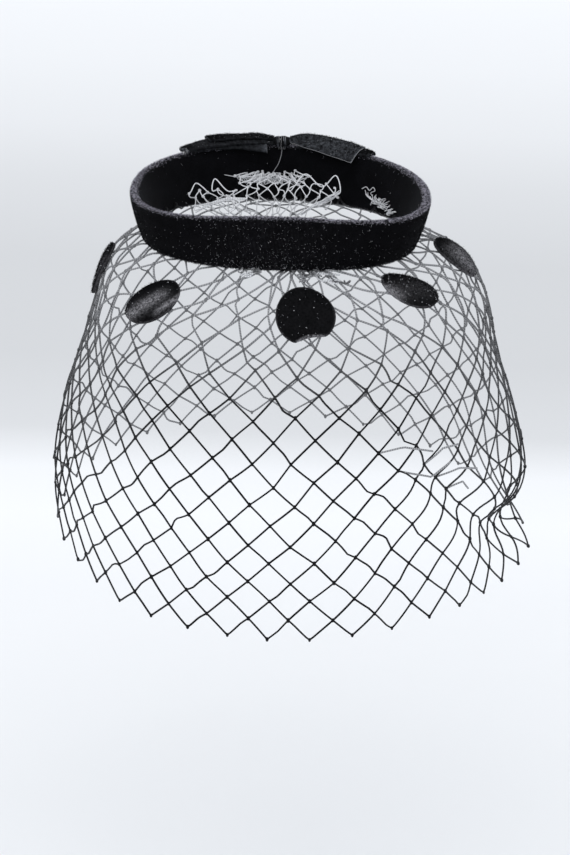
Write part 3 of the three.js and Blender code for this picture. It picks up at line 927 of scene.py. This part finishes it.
def wall_nap_mesh(count, random):
    """Nap on the outside of the band's wall."""
    angle = random.uniform(0, FULL_TURN, count)
    height = random.uniform(1.5, 27.5, count) * MM
    offset = band_face(height)
    feet = band_point(angle, height, offset)
    return nap_mesh(feet, band_normal(angle, height, offset), FACE_NAP, random)


def face_nap_mesh(pieces, count, thickness, random):
    """Nap on both faces of thin pieces."""
    centres = np.array([face.center[:] for piece in pieces for face in piece.data.polygons])
    normals = np.array([face.normal[:] for piece in pieces for face in piece.data.polygons])
    chosen = random.integers(0, len(centres), count)
    normal = normals[chosen] * random.choice([-1, 1], (count, 1), p=[0.3, 0.7])
    feet = centres[chosen] + normal * thickness / 2 + random.normal(0, 0.25 * MM, (count, 3))
    return nap_mesh(feet, normal, FACE_NAP, random)


class HAT_OT_band(bpy.types.Operator):
    """Makes the velvet band and the nap on its rims and its wall"""

    bl_idname = "hat.band"
    bl_label = "Velvet band"

    def execute(self, context):
        settings = context.scene.hat_band
        random = draws_for("band")
        velvet = velvet_material("band velvet", settings.pile, settings.worn_and_lit, BAND_RIBS)
        # Nap on the top rim takes the rim colour: scuffed pile and painted sheen
        worn_and_lit_nap = nap_material("worn nap", settings.worn_and_lit, brightest=4.2)
        black_nap = nap_material("black nap", settings.pile)
        add_piece("velvet_band", band_mesh(random), velvet, ["band"])
        mesh = rim_nap_mesh(settings.rim_fibres, True, random)
        add_piece("rim_nap", mesh, worn_and_lit_nap, smooth=False)
        mesh = rim_nap_mesh(settings.rim_fibres // 2, False, random)
        add_piece("lower_nap", mesh, black_nap, smooth=False)
        mesh = wall_nap_mesh(settings.wall_fibres, random)
        add_piece("wall_nap", mesh, black_nap, smooth=False)
        return {"FINISHED"}


# Net

class VeilNet:
    """The knots of the hanging net, and how its threads run between them."""

    strand_points = 7

    def __init__(self, settings, surface):
        self.surface = surface
        self.strand = settings.strand
        random = draws_for("net")
        drops = [VEIL_LENGTH]
        while drops[-1] > 8 * MM:
            half = surface.girth(max(drops[-1] - 6 * MM, 10 * MM)) / (2 * settings.columns)
            drops.append(drops[-1] - math.sqrt(self.strand**2 - half**2))
        drops = np.array(drops[::-1])
        self.last = len(drops) - 1
        self.columns = settings.columns
        shift = 0.5 * ((self.last - np.arange(self.last + 1)) % 2)
        column = np.arange(self.columns) + shift[:, None]
        self.drop = np.maximum(np.repeat(drops[:, None], self.columns, axis=1), 1 * MM)
        self.share = surface.share_of_column(column, self.columns)
        self.out = Ripple(random, (4, 13), (1, 4), 9)
        self.fold_lines = []
        for fold in FOLDS:
            line = smooth_path(np.array(fold["path"]) * (1 / 360, MM), 80)
            self.fold_lines.append(even_steps(line, 60)[0])
        self.disturb(random)

    def disturb(self, random):
        """Gathers at the heading, uneven meshes, and the folds that draw the net together."""
        gather = Ripple(random, (9, 24), (0, 2), 8)(self.share, self.drop)
        fade = 1 - smooth_step(self.drop, 6 * MM, 75 * MM)
        self.share = self.share + gather * fade * 0.45 / self.columns
        for angle, reach, strength, depth in GATHERS:
            way = half_turn(angle / 360 - self.share)
            fade = 1 - smooth_step(self.drop, 0, depth * MM)
            pull = strength * np.exp(-((way * 360 / reach) ** 2)) * fade
            self.share = self.share + way * pull
        across = Ripple(random, (5, 19), (2, 7), 9)(self.share, self.drop)
        down = Ripple(random, (5, 19), (2, 7), 9)(self.share, self.drop)
        loose = 0.4 + 0.6 * (1 - smooth_step(self.drop, 60 * MM, 130 * MM))
        free = smooth_step(self.drop, 10 * MM, 30 * MM)
        across = across * 2.2 * MM + random.normal(0, 0.8 * MM, self.share.shape)
        down = down * 2.4 * MM + random.normal(0, 0.8 * MM, self.share.shape)
        self.share = self.share + across * loose / GIRTH_AT_CHEEKS
        self.drop = self.drop + down * loose * free
        for fold, line in zip(FOLDS, self.fold_lines):
            move, near = self.way_to_fold(fold, line, self.share, self.drop)
            self.share = self.share + move[..., 0] * fold["pull"] * near
            self.drop = self.drop + move[..., 1] * fold["pull"] * near

    def way_to_fold(self, fold, line, share, drop):
        """The way from each place to a fold line, and how near the line it is."""
        offset = line[:, None] - np.stack([share.ravel(), drop.ravel()], axis=1)
        offset[..., 0] = half_turn(offset[..., 0])
        far = np.hypot(offset[..., 0] * GIRTH_AT_FOLDS, offset[..., 1])
        closest = np.argmin(far, axis=0), np.arange(share.size)
        near = np.exp(-((far[closest] / (fold["reach"] * MM)) ** 2))
        return offset[closest].reshape(share.shape + (2,)), near.reshape(share.shape)

    def place(self, share, drop):
        """A place on the rippled net: it lies flat under the band and behind each dot."""
        flat = smooth_step(drop, 16 * MM, 45 * MM)
        out = np.zeros_like(drop)
        for dot in DOTS:
            across = half_turn(share - dot["angle"] / 360) * GIRTH_AT_DOTS / DOT_RADIUS
            up = (dot["drop"] * MM - drop) / DOT_RADIUS
            flat = flat * smooth_step(np.hypot(across, up), 1.0, 1.7)
            out = out + dot_tilt(dot, across, up)
        out = out + self.out(share, drop) * flat * 2.6 * MM
        for fold, line in zip(FOLDS, self.fold_lines):
            if fold["depth"]:
                out = out - fold["depth"] * MM * self.way_to_fold(fold, line, share, drop)[1]
        return self.surface.point(share, drop) + self.surface.normal(share, drop) * out[..., None]

    def pale_and_highlight(self, share, drop):
        """How pale the thread is painted, mostly a painted highlight of light from above: palest under the
        front of the band, and black before the face.
        """
        side = np.abs(half_turn(share)) * 360
        front = (1 - smooth_step(drop, 30 * MM, 92 * MM)) * (1 - 0.5 * smooth_step(side, 50, 95))
        sides = smooth_step(side, 28, 62) * (1 - 0.75 * smooth_step(drop, 80 * MM, 170 * MM))
        tone = 0.5 * front + 0.15 * sides * (1 - front)
        tone = tone + (0.4 - tone) * smooth_step(side, 92, 125)
        return tone * smooth_step(drop, 8 * MM, 15 * MM)

    def strands(self, random):
        """Paths of the threads between knots, and how pale each point of them is."""
        starts, ends = [], []
        column = np.arange(self.columns)
        for row in range(self.last):
            step = -1 if (self.last - row) % 2 == 0 else 1
            for other in (column, (column + step) % self.columns):
                starts.append(np.stack([self.share[row], self.drop[row]], axis=1))
                ends.append(np.stack([self.share[row + 1][other], self.drop[row + 1][other]], axis=1))
        start, end = np.concatenate(starts), np.concatenate(ends)
        way = end - start
        way[:, 0] = half_turn(way[:, 0])
        part = np.linspace(0, 1, self.strand_points)
        line = start[:, None] + way[:, None] * part[:, None]
        share, drop = line[..., 0], line[..., 1]
        paths = self.place(share, drop)
        chord = paths[:, -1] - paths[:, 0]
        length = np.linalg.norm(chord, axis=1)
        slack = np.maximum(self.strand * 1.01 - length, 0)
        bow = np.minimum(np.sqrt(0.375 * length * slack), 2.6 * MM) * random.random(len(length)) ** 2.5
        middle = self.strand_points // 2
        normal = self.surface.normal(share[:, middle], drop[:, middle])
        beside = unit(np.cross(normal, chord))
        angle = random.uniform(-1.1, 1.1, len(length))
        angle = angle + np.where(random.random(len(length)) < 0.5, 0, math.pi)
        lean = np.cos(angle)[:, None] * beside + 0.6 * np.abs(np.sin(angle))[:, None] * normal
        near_rim = smooth_step(drop.min(axis=1), 13 * MM, 26 * MM)
        skew = part ** random.uniform(0.55, 1.8, len(length))[:, None]
        paths = paths + ((bow * near_rim)[:, None] * (1 - np.abs(2 * skew - 1)))[..., None] * lean[:, None]
        return paths, self.pale_and_highlight(share, drop)


def knot_balls(places, frames, sizes, pale_and_highlight):
    """One mesh of small hard knots, with how pale each one is painted as highlight."""
    bm = bmesh.new()
    bmesh.ops.create_uvsphere(bm, u_segments=8, v_segments=5, radius=1)
    ball = mesh_from(bm)
    mesh = scatter_mesh(ball, places, frames, sizes)
    set_attribute(mesh, "pale_and_highlight", np.repeat(pale_and_highlight, len(ball.vertices)))
    mesh.uv_layers.new(name="thread")
    bpy.data.meshes.remove(ball)
    return mesh


def knots_mesh(net, size, random):
    """A small hard knot at every crossing of the net."""
    share, drop = net.share.ravel(), net.drop.ravel()
    normal = net.surface.normal(share, drop)
    down = unit(net.surface.point(share, drop + 2 * MM) - net.surface.point(share, drop - 2 * MM))
    frames = np.stack([unit(np.cross(normal, down)), down, normal], axis=1)
    sizes = random.uniform(0.85, 1.15, len(share))[:, None] * KNOT_SHAPE * size
    return knot_balls(net.place(share, drop), frames, sizes, net.pale_and_highlight(share, drop) * 0.8)


def add_loose_ends(threads, net, settings):
    """Broken threads that start at a knot and stand off the net."""
    knots = net.place(net.share.ravel(), net.drop.ravel())
    for end in LOOSE_ENDS:
        line, _ = even_steps(np.array(end, float), 14)
        share, drop = line[:, 0] / 360, line[:, 1] * MM
        path = net.place(share, drop) + net.surface.normal(share, drop) * line[:, 2:] * MM
        path = path + (nearest(knots, path[0]) - path[0]) * np.linspace(1, 0, len(path))[:, None]
        # Painted highlight: loose ends painted paler than the net they leave
        threads.add(path[None], settings.thread / 2, net.pale_and_highlight(share, drop)[None] + 0.5)


def add_tangles(threads, net, settings, random):
    """Short lengths of thread, bunched where the net is gathered under the band."""
    for angle, drop, count in BUNCHES:
        for _ in range(count):
            steps = random.normal(0, 1, (5, 2)) * (2.2 / 360, 1.7 * MM)
            line = smooth_path(np.cumsum(steps, axis=0) + (angle / 360, drop * MM), 20)
            share, drops = line[:, 0], np.maximum(line[:, 1], 12.5 * MM)
            rise = smooth_path(random.uniform(0.3, 2.4, (5, 1)) * MM, 20)
            path = net.place(share, drops) + net.surface.normal(share, drops) * rise
            # Painted highlight: each tangle painted pale by its own amount
            threads.add(path[None], settings.thread * 0.4, random.choice([0.2, 0.5, 1.2]))


class HAT_OT_veil(bpy.types.Operator):
    """Makes the hanging net, thread by thread, with a knot at every crossing"""

    bl_idname = "hat.veil"
    bl_label = "Hanging net"

    def execute(self, context):
        settings = context.scene.hat_net
        random = draws_for("veil")
        net = VeilNet(settings, VeilSurface())
        threads = Threads(THREAD_SIDES)
        paths, pale_and_highlight = net.strands(random)
        radius = settings.thread / 2 * random.uniform(0.92, 1.1, len(paths))[:, None]
        threads.add(paths, radius, pale_and_highlight)
        add_loose_ends(threads, net, settings)
        add_tangles(threads, net, settings, random)
        material = thread_material("net thread", settings.dark, settings.pale_and_highlight)
        add_piece("net_veil", threads.mesh(), material, ["veil"])
        add_piece("net_knots", knots_mesh(net, settings.knot, random), material)
        return {"FINISHED"}


# Crown net

def crown_spots(random):
    """Places of the crown net's knots, row by row from the front, where the net is drawn in."""
    row = np.arange(CROWN_ROWS + 1)
    column = np.arange(CROWN_COLUMNS)[None] + 0.5 * (row % 2)[:, None]
    across = np.clip((column + 0.25) / CROWN_COLUMNS * 2 - 1, -1, 1) + random.normal(0, 0.03, column.shape)
    along = np.repeat(row[:, None] / CROWN_ROWS, CROWN_COLUMNS, axis=1)
    along = np.clip(along + random.normal(0, 0.012, column.shape), 0, 1)
    spots = crown_point(np.clip(across, -1, 1), along)
    spots[..., 0] *= 0.65 + 0.35 * smooth_step(spots[..., 1], -40 * MM, 5 * MM)
    spots[..., 2] += random.normal(0, 0.6 * MM, column.shape)
    return spots


def crown_covers(place):
    """Whether the net reaches a place: it ends short on the right, and only a tongue goes to the back."""
    edge = np.interp(place[1], CROWN_RIGHT[:, 1], CROWN_RIGHT[:, 0])
    back = CROWN_BACK_RIGHT if place[0] > 0 else CROWN_BACK_LEFT
    return place[0] < edge and (place[1] < back or CROWN_TONGUE[0] < place[0] < CROWN_TONGUE[1])


def crown_strands(spots):
    """Where the strands between knots start and end."""
    starts, ends = [], []
    for row in range(CROWN_ROWS):
        step = 1 if row % 2 else -1
        for column in range(CROWN_COLUMNS):
            for other in (column, column + step):
                if not 0 <= other < CROWN_COLUMNS:
                    continue
                start, end = spots[row, column], spots[row + 1, other]
                if crown_covers((start + end) / 2):
                    starts.append(start)
                    ends.append(end)
    return np.array(starts), np.array(ends)


def crown_threads(settings, random):
    """The net over the crown, gathered between the front and the back of the band, and its knots."""
    threads = Threads(THREAD_SIDES)
    start, end = crown_strands(crown_spots(random))
    knots = np.unique(np.concatenate([start, end]), axis=0)
    part = np.linspace(0, 1, 7)
    paths = start[:, None] + (end - start)[:, None] * part[:, None]
    sway = random.normal(0, 1.1 * MM, (len(start), 1, 3)) * np.array([1, 1, 0.4])
    paths = paths + sway * np.sin(math.pi * part)[:, None]
    radius = settings.thread * CROWN_THREAD
    # Painted highlight: crown threads painted pale where light from above catches them, paler towards the
    # back; the edge loops and bundles below palest
    threads.add(paths, radius, 0.6 + 0.4 * smooth_step(paths[..., 1], -8 * MM, 16 * MM))
    for edge in CROWN_EDGE + CROWN_BUNDLES:
        line = np.array(edge) * MM
        line = np.concatenate([[nearest(knots, line[0])], line, [nearest(knots, line[-1])]])
        threads.add(smooth_path(line, 8 * len(line))[None], radius * 1.1, 1.0)
    for bundle in CROWN_BUNDLES:
        for _ in range(3):
            strand = np.array(bundle) * MM + random.normal(0, 0.8 * MM, (len(bundle), 3))
            threads.add(smooth_path(strand, 8 * len(bundle))[None], radius, 1.0)
    return threads, knots


def crown_knots_mesh(spots, size, random):
    """Small knots where the threads of the crown net cross."""
    frames = np.repeat(np.eye(3)[None], len(spots), axis=0)
    sizes = random.uniform(0.4, 0.6, (len(spots), 3)) * size
    return knot_balls(spots, frames, sizes, np.full(len(spots), 0.9))


def add_heading(threads, settings, random):
    """Frayed ends of the gathered net that stand off the inside of the band, painted pale as highlight."""
    clear = BAND_WALL / 2 + 0.7 * MM
    part = np.linspace(0, 1, 6)
    for first, low, last, high, count in FRAYED_HEADING:
        way = random.random(count)
        angle = np.radians(first + (last - first) * way + random.normal(0, 1, count))
        middle = (low + (high - low) * way + random.uniform(-1.6, 1.6, count)) * MM
        rise = random.uniform(0.8, 2.0, count) * MM
        turn = angle[:, None] + random.normal(0, 0.06, (count, 1)) * part
        height = np.maximum(middle[:, None] + (part - 0.5) * 2 * rise[:, None], 2.4 * MM)
        bulge = clear + random.uniform(0.2, 2.2, (count, 1)) * MM * np.sin(math.pi * part)
        threads.add(band_point(turn, height, -bulge), settings.thread * FRAYED_THREAD, 1.0)
    line = smooth_path(CURLED_END, 60)
    path = band_point(np.radians(line[:, 0]), line[:, 1] * MM, -clear - 0.8 * MM)
    threads.add(path[None], settings.thread * CURLED_THREAD, 0.8)


class HAT_OT_crown_net(bpy.types.Operator):
    """Makes the net over the crown and the gathered heading inside the band"""

    bl_idname = "hat.crown_net"
    bl_label = "Crown net"

    def execute(self, context):
        settings = context.scene.hat_net
        random = draws_for("crown")
        threads, spots = crown_threads(settings, random)
        add_heading(threads, settings, random)
        material = thread_material("crown thread", settings.dark, settings.pale_and_highlight, dash=-4.0)
        add_piece("crown_threads", threads.mesh(), material, ["crown_net"])
        knots = crown_knots_mesh(spots, settings.knot * CROWN_KNOT, random)
        add_piece("crown_knots", knots, material)
        return {"FINISHED"}


# Dots

def dot_mesh(dot, surface):
    """A round of velvet that lies on the net, and where its pile is paler: scuffed, paled by brushing, and on
    the right side dot a painted sheen.
    """
    mesh = grid_mesh(DOT_GRID, DOT_GRID)
    u, v = mesh_points(mesh)[:, :2].T
    across = u * np.sqrt(1 - v * v / 2)
    up = v * np.sqrt(1 - u * u / 2)
    notch_turn, notch = dot["notch"]
    turn = np.mod(np.arctan2(up, across) - math.radians(notch_turn) + math.pi, FULL_TURN) - math.pi
    notch = notch * np.maximum(1 - (turn / NOTCH_HALF_WIDTH) ** 2, 0)
    wear_and_sheen = 0.22 * smooth_step(np.hypot(across, up), 0.94, 1.0)
    wear_and_sheen = wear_and_sheen + smooth_step(np.hypot(across, up), 0.88, 0.96) * smooth_step(notch, 0, 0.05)
    across, up = across * (1 - notch), up * (1 - notch)
    share, drop = dot["angle"] / 360, dot["drop"] * MM
    pair = surface.point(np.array([share + 0.005, share - 0.005]), np.array([drop, drop]))
    girth = np.linalg.norm(pair[0] - pair[1]) / 0.01
    rise = VEIL_LENGTH / surface.lengths[round(share * surface.sides) % surface.sides]
    radius = DOT_RADIUS * dot["size"]
    shares = share + across * radius / girth
    drops = drop - up * radius * rise
    lift = NET_THICKNESS / 2 + DOT_GAP + DOT_THICKNESS / 2 + dot_tilt(dot, across, up)
    place_points(mesh, surface.point(shares, drops) + surface.normal(shares, drops) * lift[:, None])
    for patch_across, patch_up, turn, long_way, short_way, strength in dot["patches"]:
        turn = math.radians(turn)
        along = (across - patch_across) * math.cos(turn) + (up - patch_up) * math.sin(turn)
        beside = (up - patch_up) * math.cos(turn) - (across - patch_across) * math.sin(turn)
        wear_and_sheen = wear_and_sheen + strength * np.exp(-((along / long_way) ** 4) - (beside / short_way) ** 2)
    set_attribute(mesh, "wear_and_sheen", np.clip(wear_and_sheen, 0, 1))
    return mesh


class HAT_OT_dots(bpy.types.Operator):
    """Makes the velvet dots that lie on the net"""

    bl_idname = "hat.dots"
    bl_label = "Velvet dots"

    def execute(self, context):
        settings = context.scene.hat_dots
        surface = VeilSurface()
        velvet = velvet_material("dot velvet", settings.pile, settings.brushed_and_lit, mottle=(900, 0.33, 0.6))
        pieces = []
        for dot in DOTS:
            name = "velvet_" + dot["name"]
            piece = add_piece(name, dot_mesh(dot, surface), velvet, [dot["name"]])
            thicken(piece, DOT_THICKNESS)
            pieces.append(piece)
        random = draws_for("dots")
        mesh = face_nap_mesh(pieces, settings.fibres, DOT_THICKNESS, random)
        add_piece("dot_nap", mesh, nap_material("dot nap", settings.pile), smooth=False)
        return {"FINISHED"}


# Bow

def ribbon_mesh(ribbon, random):
    """A ribbon through its stations, with folds that fan from the knot, and its flat size."""
    mesh = grid_mesh(RIBBON_COLUMNS, RIBBON_ROWS)
    u, v = mesh_points(mesh)[:, :2].T
    stations = np.array(ribbon["stations"]) * MM
    along, front, front_height = smooth_line(stations[:, :3], (u + 1) / 2).T
    back, back_height, arch = smooth_line(stations[:, 3:], (u + 1) / 2).T
    share = (v + 1) / 2
    near = 1 - smooth_step(along, 7 * MM, 26 * MM)
    folds = np.sin(v * 6 + random.uniform(0, 6)) * near * 0.3 * MM
    waves = np.sin(along / (5.2 * MM) + v * 1.5 + random.uniform(0, 6)) * (0.22 + 0.2 * v) * MM
    waves = waves + np.sin(along / (2.3 * MM) + random.uniform(0, 6)) * 0.1 * MM
    height = front_height + (back_height - front_height) * share + arch * (1 - v * v) + folds + waves
    angle = math.pi - ribbon["turn"] * along / BAND_RADIUS_TOP
    place_points(mesh, band_point(angle, height, front + (back - front) * share))
    if ribbon["turn"] < 0:
        mesh.flip_normals()
    end_wear, fold_wear, all_over = ribbon["wear_and_sheen"]
    reach = stations[:, 0].max()
    wear_and_sheen = end_wear * smooth_step(u, 0.96, 0.99) + all_over
    set_attribute(mesh, "wear_and_sheen", np.maximum(wear_and_sheen, fold_wear * smooth_step(along, reach - 2 * MM, reach)))
    middle = np.abs(v) == np.abs(v).min()
    line = mesh_points(mesh)[middle][np.argsort(u[middle])]
    length = float(step_lengths(line).sum())
    width = sum(face.area for face in mesh.polygons) / length
    return mesh, (max(width, LEAST_SHEET_WIDTH), length)


def knot_mesh():
    """The tied middle of the bow, with folds round it."""
    bm = bmesh.new()
    bmesh.ops.create_uvsphere(bm, u_segments=48, v_segments=28, radius=1)
    mesh = mesh_from(bm)
    points = mesh_points(mesh)
    blunt = np.sign(points) * np.abs(points) ** KNOT_BLUNTNESS
    wave = np.sin(points[:, 0] * 9 + 1.2 * points[:, 1])
    folds = 1 + 0.07 * wave
    lift = GAP + KNOT_HEIGHT * (0.5 + 0.5 * blunt[:, 2] * folds)
    place_points(mesh, bow_point(KNOT_HALF * blunt[:, 0], KNOT_HALF_SPAN * blunt[:, 1] * folds, lift))
    set_attribute(mesh, "wear_and_sheen", 0.25 * smooth_step(wave, 0.5, 1))
    return mesh


def bow_threads(ribbons, random):
    """The woven edges that show, with painted sheen along them, the frayed fold, stitches across the knot and
    the hanging end.
    """
    threads = Threads(THREAD_SIDES)
    u, v = np.meshgrid(np.arange(RIBBON_COLUMNS + 1), np.arange(RIBBON_ROWS + 1))
    for ribbon, piece in zip(RIBBONS, ribbons):
        points = mesh_points(piece.data)
        front, end = points[v.ravel() == 0], points[u.ravel() == RIBBON_COLUMNS]
        for line, pale_and_highlight in zip((front, end), ribbon["edges"]):
            if pale_and_highlight:
                threads.add(line[None] + np.array([0, -0.3 * MM, 0]), EDGE_RADIUS, pale_and_highlight)
    along, height, offset = FRAYED_FOLD
    tip = band_point(math.pi + along / BAND_RADIUS_TOP, height, offset)
    for fray in random.normal(0, 1, (12, 4, 3)):
        path = tip + np.cumsum(fray, axis=0) * np.array([0.5, 0.9, 0.45]) * MM
        threads.add(path[None], FRAY_RADIUS, 0.9)
    part = np.linspace(0, math.pi, 14)
    for along in random.uniform(-STITCH_SPREAD, STITCH_SPREAD, STITCHES):
        lean = random.normal(0, 0.8) * MM
        across = 4.6 * MM * np.cos(part)
        lift = GAP + (KNOT_HEIGHT + 0.3 * MM) * np.sin(part) ** 0.6
        path = bow_point(np.linspace(along * MM, along * MM + lean, len(part)), across, lift)
        threads.add(path[None], STITCH_RADIUS, 0.4)
    line = smooth_path(np.array(LOOSE_THREAD) * MM, 24)
    threads.add(line[None], HANGING_RADIUS, 0.45)
    return threads


class HAT_OT_bow(bpy.types.Operator):
    """Makes the ribbon bow on the back rim, its knot and its threads"""

    bl_idname = "hat.bow"
    bl_label = "Ribbon bow"

    def execute(self, context):
        settings = context.scene.hat_bow
        net = context.scene.hat_net
        random = draws_for("bow")
        velvet = velvet_material("ribbon velvet", settings.pile, settings.paler_pile_and_sheen, mottle=(480, 0.36, 0.68))
        ribbons = []
        for ribbon in RIBBONS:
            name = "ribbon_" + ribbon["name"]
            mesh, flat = ribbon_mesh(ribbon, random)
            piece = add_piece(name, mesh, velvet, ["bow_" + ribbon["name"]])
            thicken(piece, settings.thickness)
            ribbons.append(piece)
        mesh = face_nap_mesh(ribbons, settings.fibres, settings.thickness, random)
        add_piece("ribbon_nap", mesh, nap_material("ribbon nap", settings.pile), smooth=False)
        add_piece("ribbon_knot", knot_mesh(), velvet, ["bow_knot"])
        thread = thread_material("sewing thread", net.dark, net.pale_and_highlight)
        add_piece("bow_threads", bow_threads(ribbons, random).mesh(), thread)
        return {"FINISHED"}


# Lint

def add_lint(threads, places, normals, random, kind):
    """Short curled fibres that lie on a surface."""
    count = len(places)
    long_share, size = kind
    part = np.linspace(-0.5, 0.5, 4)
    first = unit(np.cross(normals, random.normal(0, 1, (count, 3))))
    second = np.cross(normals, first)
    long_ones = random.random(count) < long_share
    length = np.where(long_ones, random.uniform(0.6, 1.5, count), random.uniform(0.08, 0.26, count)) * MM
    curl = random.normal(0, 0.35, count) * length
    path = places[:, None] + first[:, None] * (part[:, None] * length[:, None, None])
    path = path + second[:, None] * ((4 * part**2)[:, None] * curl[:, None, None])
    path = path + normals[:, None] * (0.22 * MM)
    speck = 0.028 + 0.09 * random.random(count) ** 2.5
    radius = np.where(long_ones, random.uniform(0.018, 0.03, count), speck) * MM
    threads.add(path, radius[:, None] * size, 1.0)


def face_places(piece, count, thickness, random):
    """Random places on the outer face of a thin piece, and which way is out there."""
    faces = piece.data.polygons
    chosen = [faces[int(number)] for number in random.integers(0, len(faces), count)]
    normals = np.array([face.normal[:] for face in chosen])
    places = np.array([face.center[:] for face in chosen]) + normals * (thickness / 2 + 0.35 * MM)
    return places, normals


class HAT_OT_lint(bpy.types.Operator):
    """Scatters the pale lint that clings to the velvet"""

    bl_idname = "hat.lint"
    bl_label = "Lint"

    def execute(self, context):
        settings = context.scene.hat_band
        random = draws_for("lint")
        threads = Threads(LINT_SIDES)
        count = settings.lint_specks
        angle = random.uniform(-math.pi, math.pi, count)
        angle[: count // 2] = random.normal(-0.03, 0.37, count // 2)
        height = (1.5 + 25.5 * random.random(count) ** 1.7) * MM
        outer = band_face(height)
        inside = random.random(count) < 0.25
        inside[: count // 2] = False
        offset = np.where(inside, -BAND_WALL / 2, outer)
        normals = band_normal(angle, height, offset) * np.where(inside, -1, 1)[:, None]
        add_lint(threads, band_point(angle, height, offset), normals, random, BAND_LINT)
        for dot in DOTS:
            piece = bpy.data.objects["velvet_" + dot["name"]]
            add_lint(threads, *face_places(piece, dot["lint"], DOT_THICKNESS, random), random, DOT_LINT)
        for ribbon in RIBBONS:
            piece = bpy.data.objects["ribbon_" + ribbon["name"]]
            places, normals = face_places(piece, RIBBON_SPECKS, RIBBON_THICKNESS, random)
            add_lint(threads, places, normals, random, RIBBON_LINT)
        material = lint_material("lint", LINT_PALE, LINT_DUSTY)
        add_piece("lint", threads.mesh(), material)
        return {"FINISHED"}


# Stage

def add_sun(name, towards, width, strength, color):
    """A broad soft light from far off, shining along a direction."""
    light = bpy.data.lights.new(name, "SUN")
    light.angle = math.radians(width)
    light.energy = strength
    light.color = color
    lamp = bpy.data.objects.new(name, light)
    lamp.rotation_mode = "QUATERNION"
    lamp.rotation_quaternion = Vector(towards).to_track_quat("-Z", "Y")
    bpy.context.scene.collection.objects.link(lamp)


def add_camera():
    camera = bpy.data.cameras.new("camera")
    camera.sensor_width = SENSOR_WIDTH
    camera.lens = SENSOR_WIDTH * FOCAL_PIXELS / PICTURE_HEIGHT
    camera.clip_end = 50
    level = math.cos(CAMERA_PITCH)
    ahead = np.array([math.sin(CAMERA_YAW) * level, math.cos(CAMERA_YAW) * level, math.sin(CAMERA_PITCH)])
    right = np.cross(ahead, (0, 0, 1))
    right = right / np.linalg.norm(right)
    up = np.cross(right, ahead)
    side = right * math.cos(CAMERA_ROLL) + up * math.sin(CAMERA_ROLL)
    top = up * math.cos(CAMERA_ROLL) - right * math.sin(CAMERA_ROLL)
    rows = [[side[k], top[k], -ahead[k], CAMERA_PLACE[k]] for k in range(3)]
    holder = bpy.data.objects.new("camera", camera)
    holder.matrix_world = Matrix(rows + [[0, 0, 0, 1]])
    bpy.context.scene.collection.objects.link(holder)
    bpy.context.scene.camera = holder


class HAT_OT_stage(bpy.types.Operator):
    """Sets the pale floor, the soft lights and the camera"""

    bl_idname = "hat.stage"
    bl_label = "Stage"

    def execute(self, context):
        settings = context.scene.hat_stage
        bm = bmesh.new()
        bmesh.ops.create_circle(bm, cap_ends=True, segments=96, radius=FLOOR_RADIUS)
        bmesh.ops.translate(bm, verts=bm.verts, vec=(0, 0, -settings.floor_height))
        mesh = mesh_from(bm)
        mesh.materials.append(floor_material("floor", settings.floor))
        floor = bpy.data.objects.new("floor", mesh)
        context.scene.collection.objects.link(floor)
        world = bpy.data.worlds.new("studio")
        world.use_nodes = True
        sky = world.node_tree.nodes["Background"]
        sky.inputs["Color"].default_value = SKY_COLOR
        sky.inputs["Strength"].default_value = SKY_STRENGTH
        context.scene.world = world
        context.scene.view_settings.view_transform = "Standard"
        for name, lamp in LAMPS.items():
            add_sun(name, *lamp)
        add_camera()
        return {"FINISHED"}


class HAT_PT_panel(bpy.types.Panel):
    """Lists the pieces of the hat and their settings"""

    bl_label = "Veiled circlet hat"
    bl_idname = "HAT_PT_panel"
    bl_space_type = "VIEW_3D"
    bl_region_type = "UI"
    bl_category = "Hat"

    def draw(self, context):
        for operator in OPERATORS:
            self.layout.operator(operator.bl_idname)
        for name, group in SETTINGS.items():
            box = self.layout.box()
            for setting in group.__annotations__:
                box.prop(getattr(context.scene, name), setting)


OPERATORS = [HAT_OT_stage, HAT_OT_band, HAT_OT_veil, HAT_OT_crown_net, HAT_OT_dots, HAT_OT_bow, HAT_OT_lint]
CLASSES = [*SETTINGS.values(), *OPERATORS, HAT_PT_panel]


def register():
    for cls in CLASSES:
        bpy.utils.register_class(cls)
    for name, group in SETTINGS.items():
        setattr(bpy.types.Scene, name, bpy.props.PointerProperty(type=group))


def unregister():
    for name in SETTINGS:
        delattr(bpy.types.Scene, name)
    for cls in reversed(CLASSES):
        bpy.utils.unregister_class(cls)


def main():
    register()
    bpy.ops.hat.stage()
    bpy.ops.hat.band()
    bpy.ops.hat.veil()
    bpy.ops.hat.crown_net()
    bpy.ops.hat.dots()
    bpy.ops.hat.bow()
    bpy.ops.hat.lint()


if __name__ == "__main__":
    main()
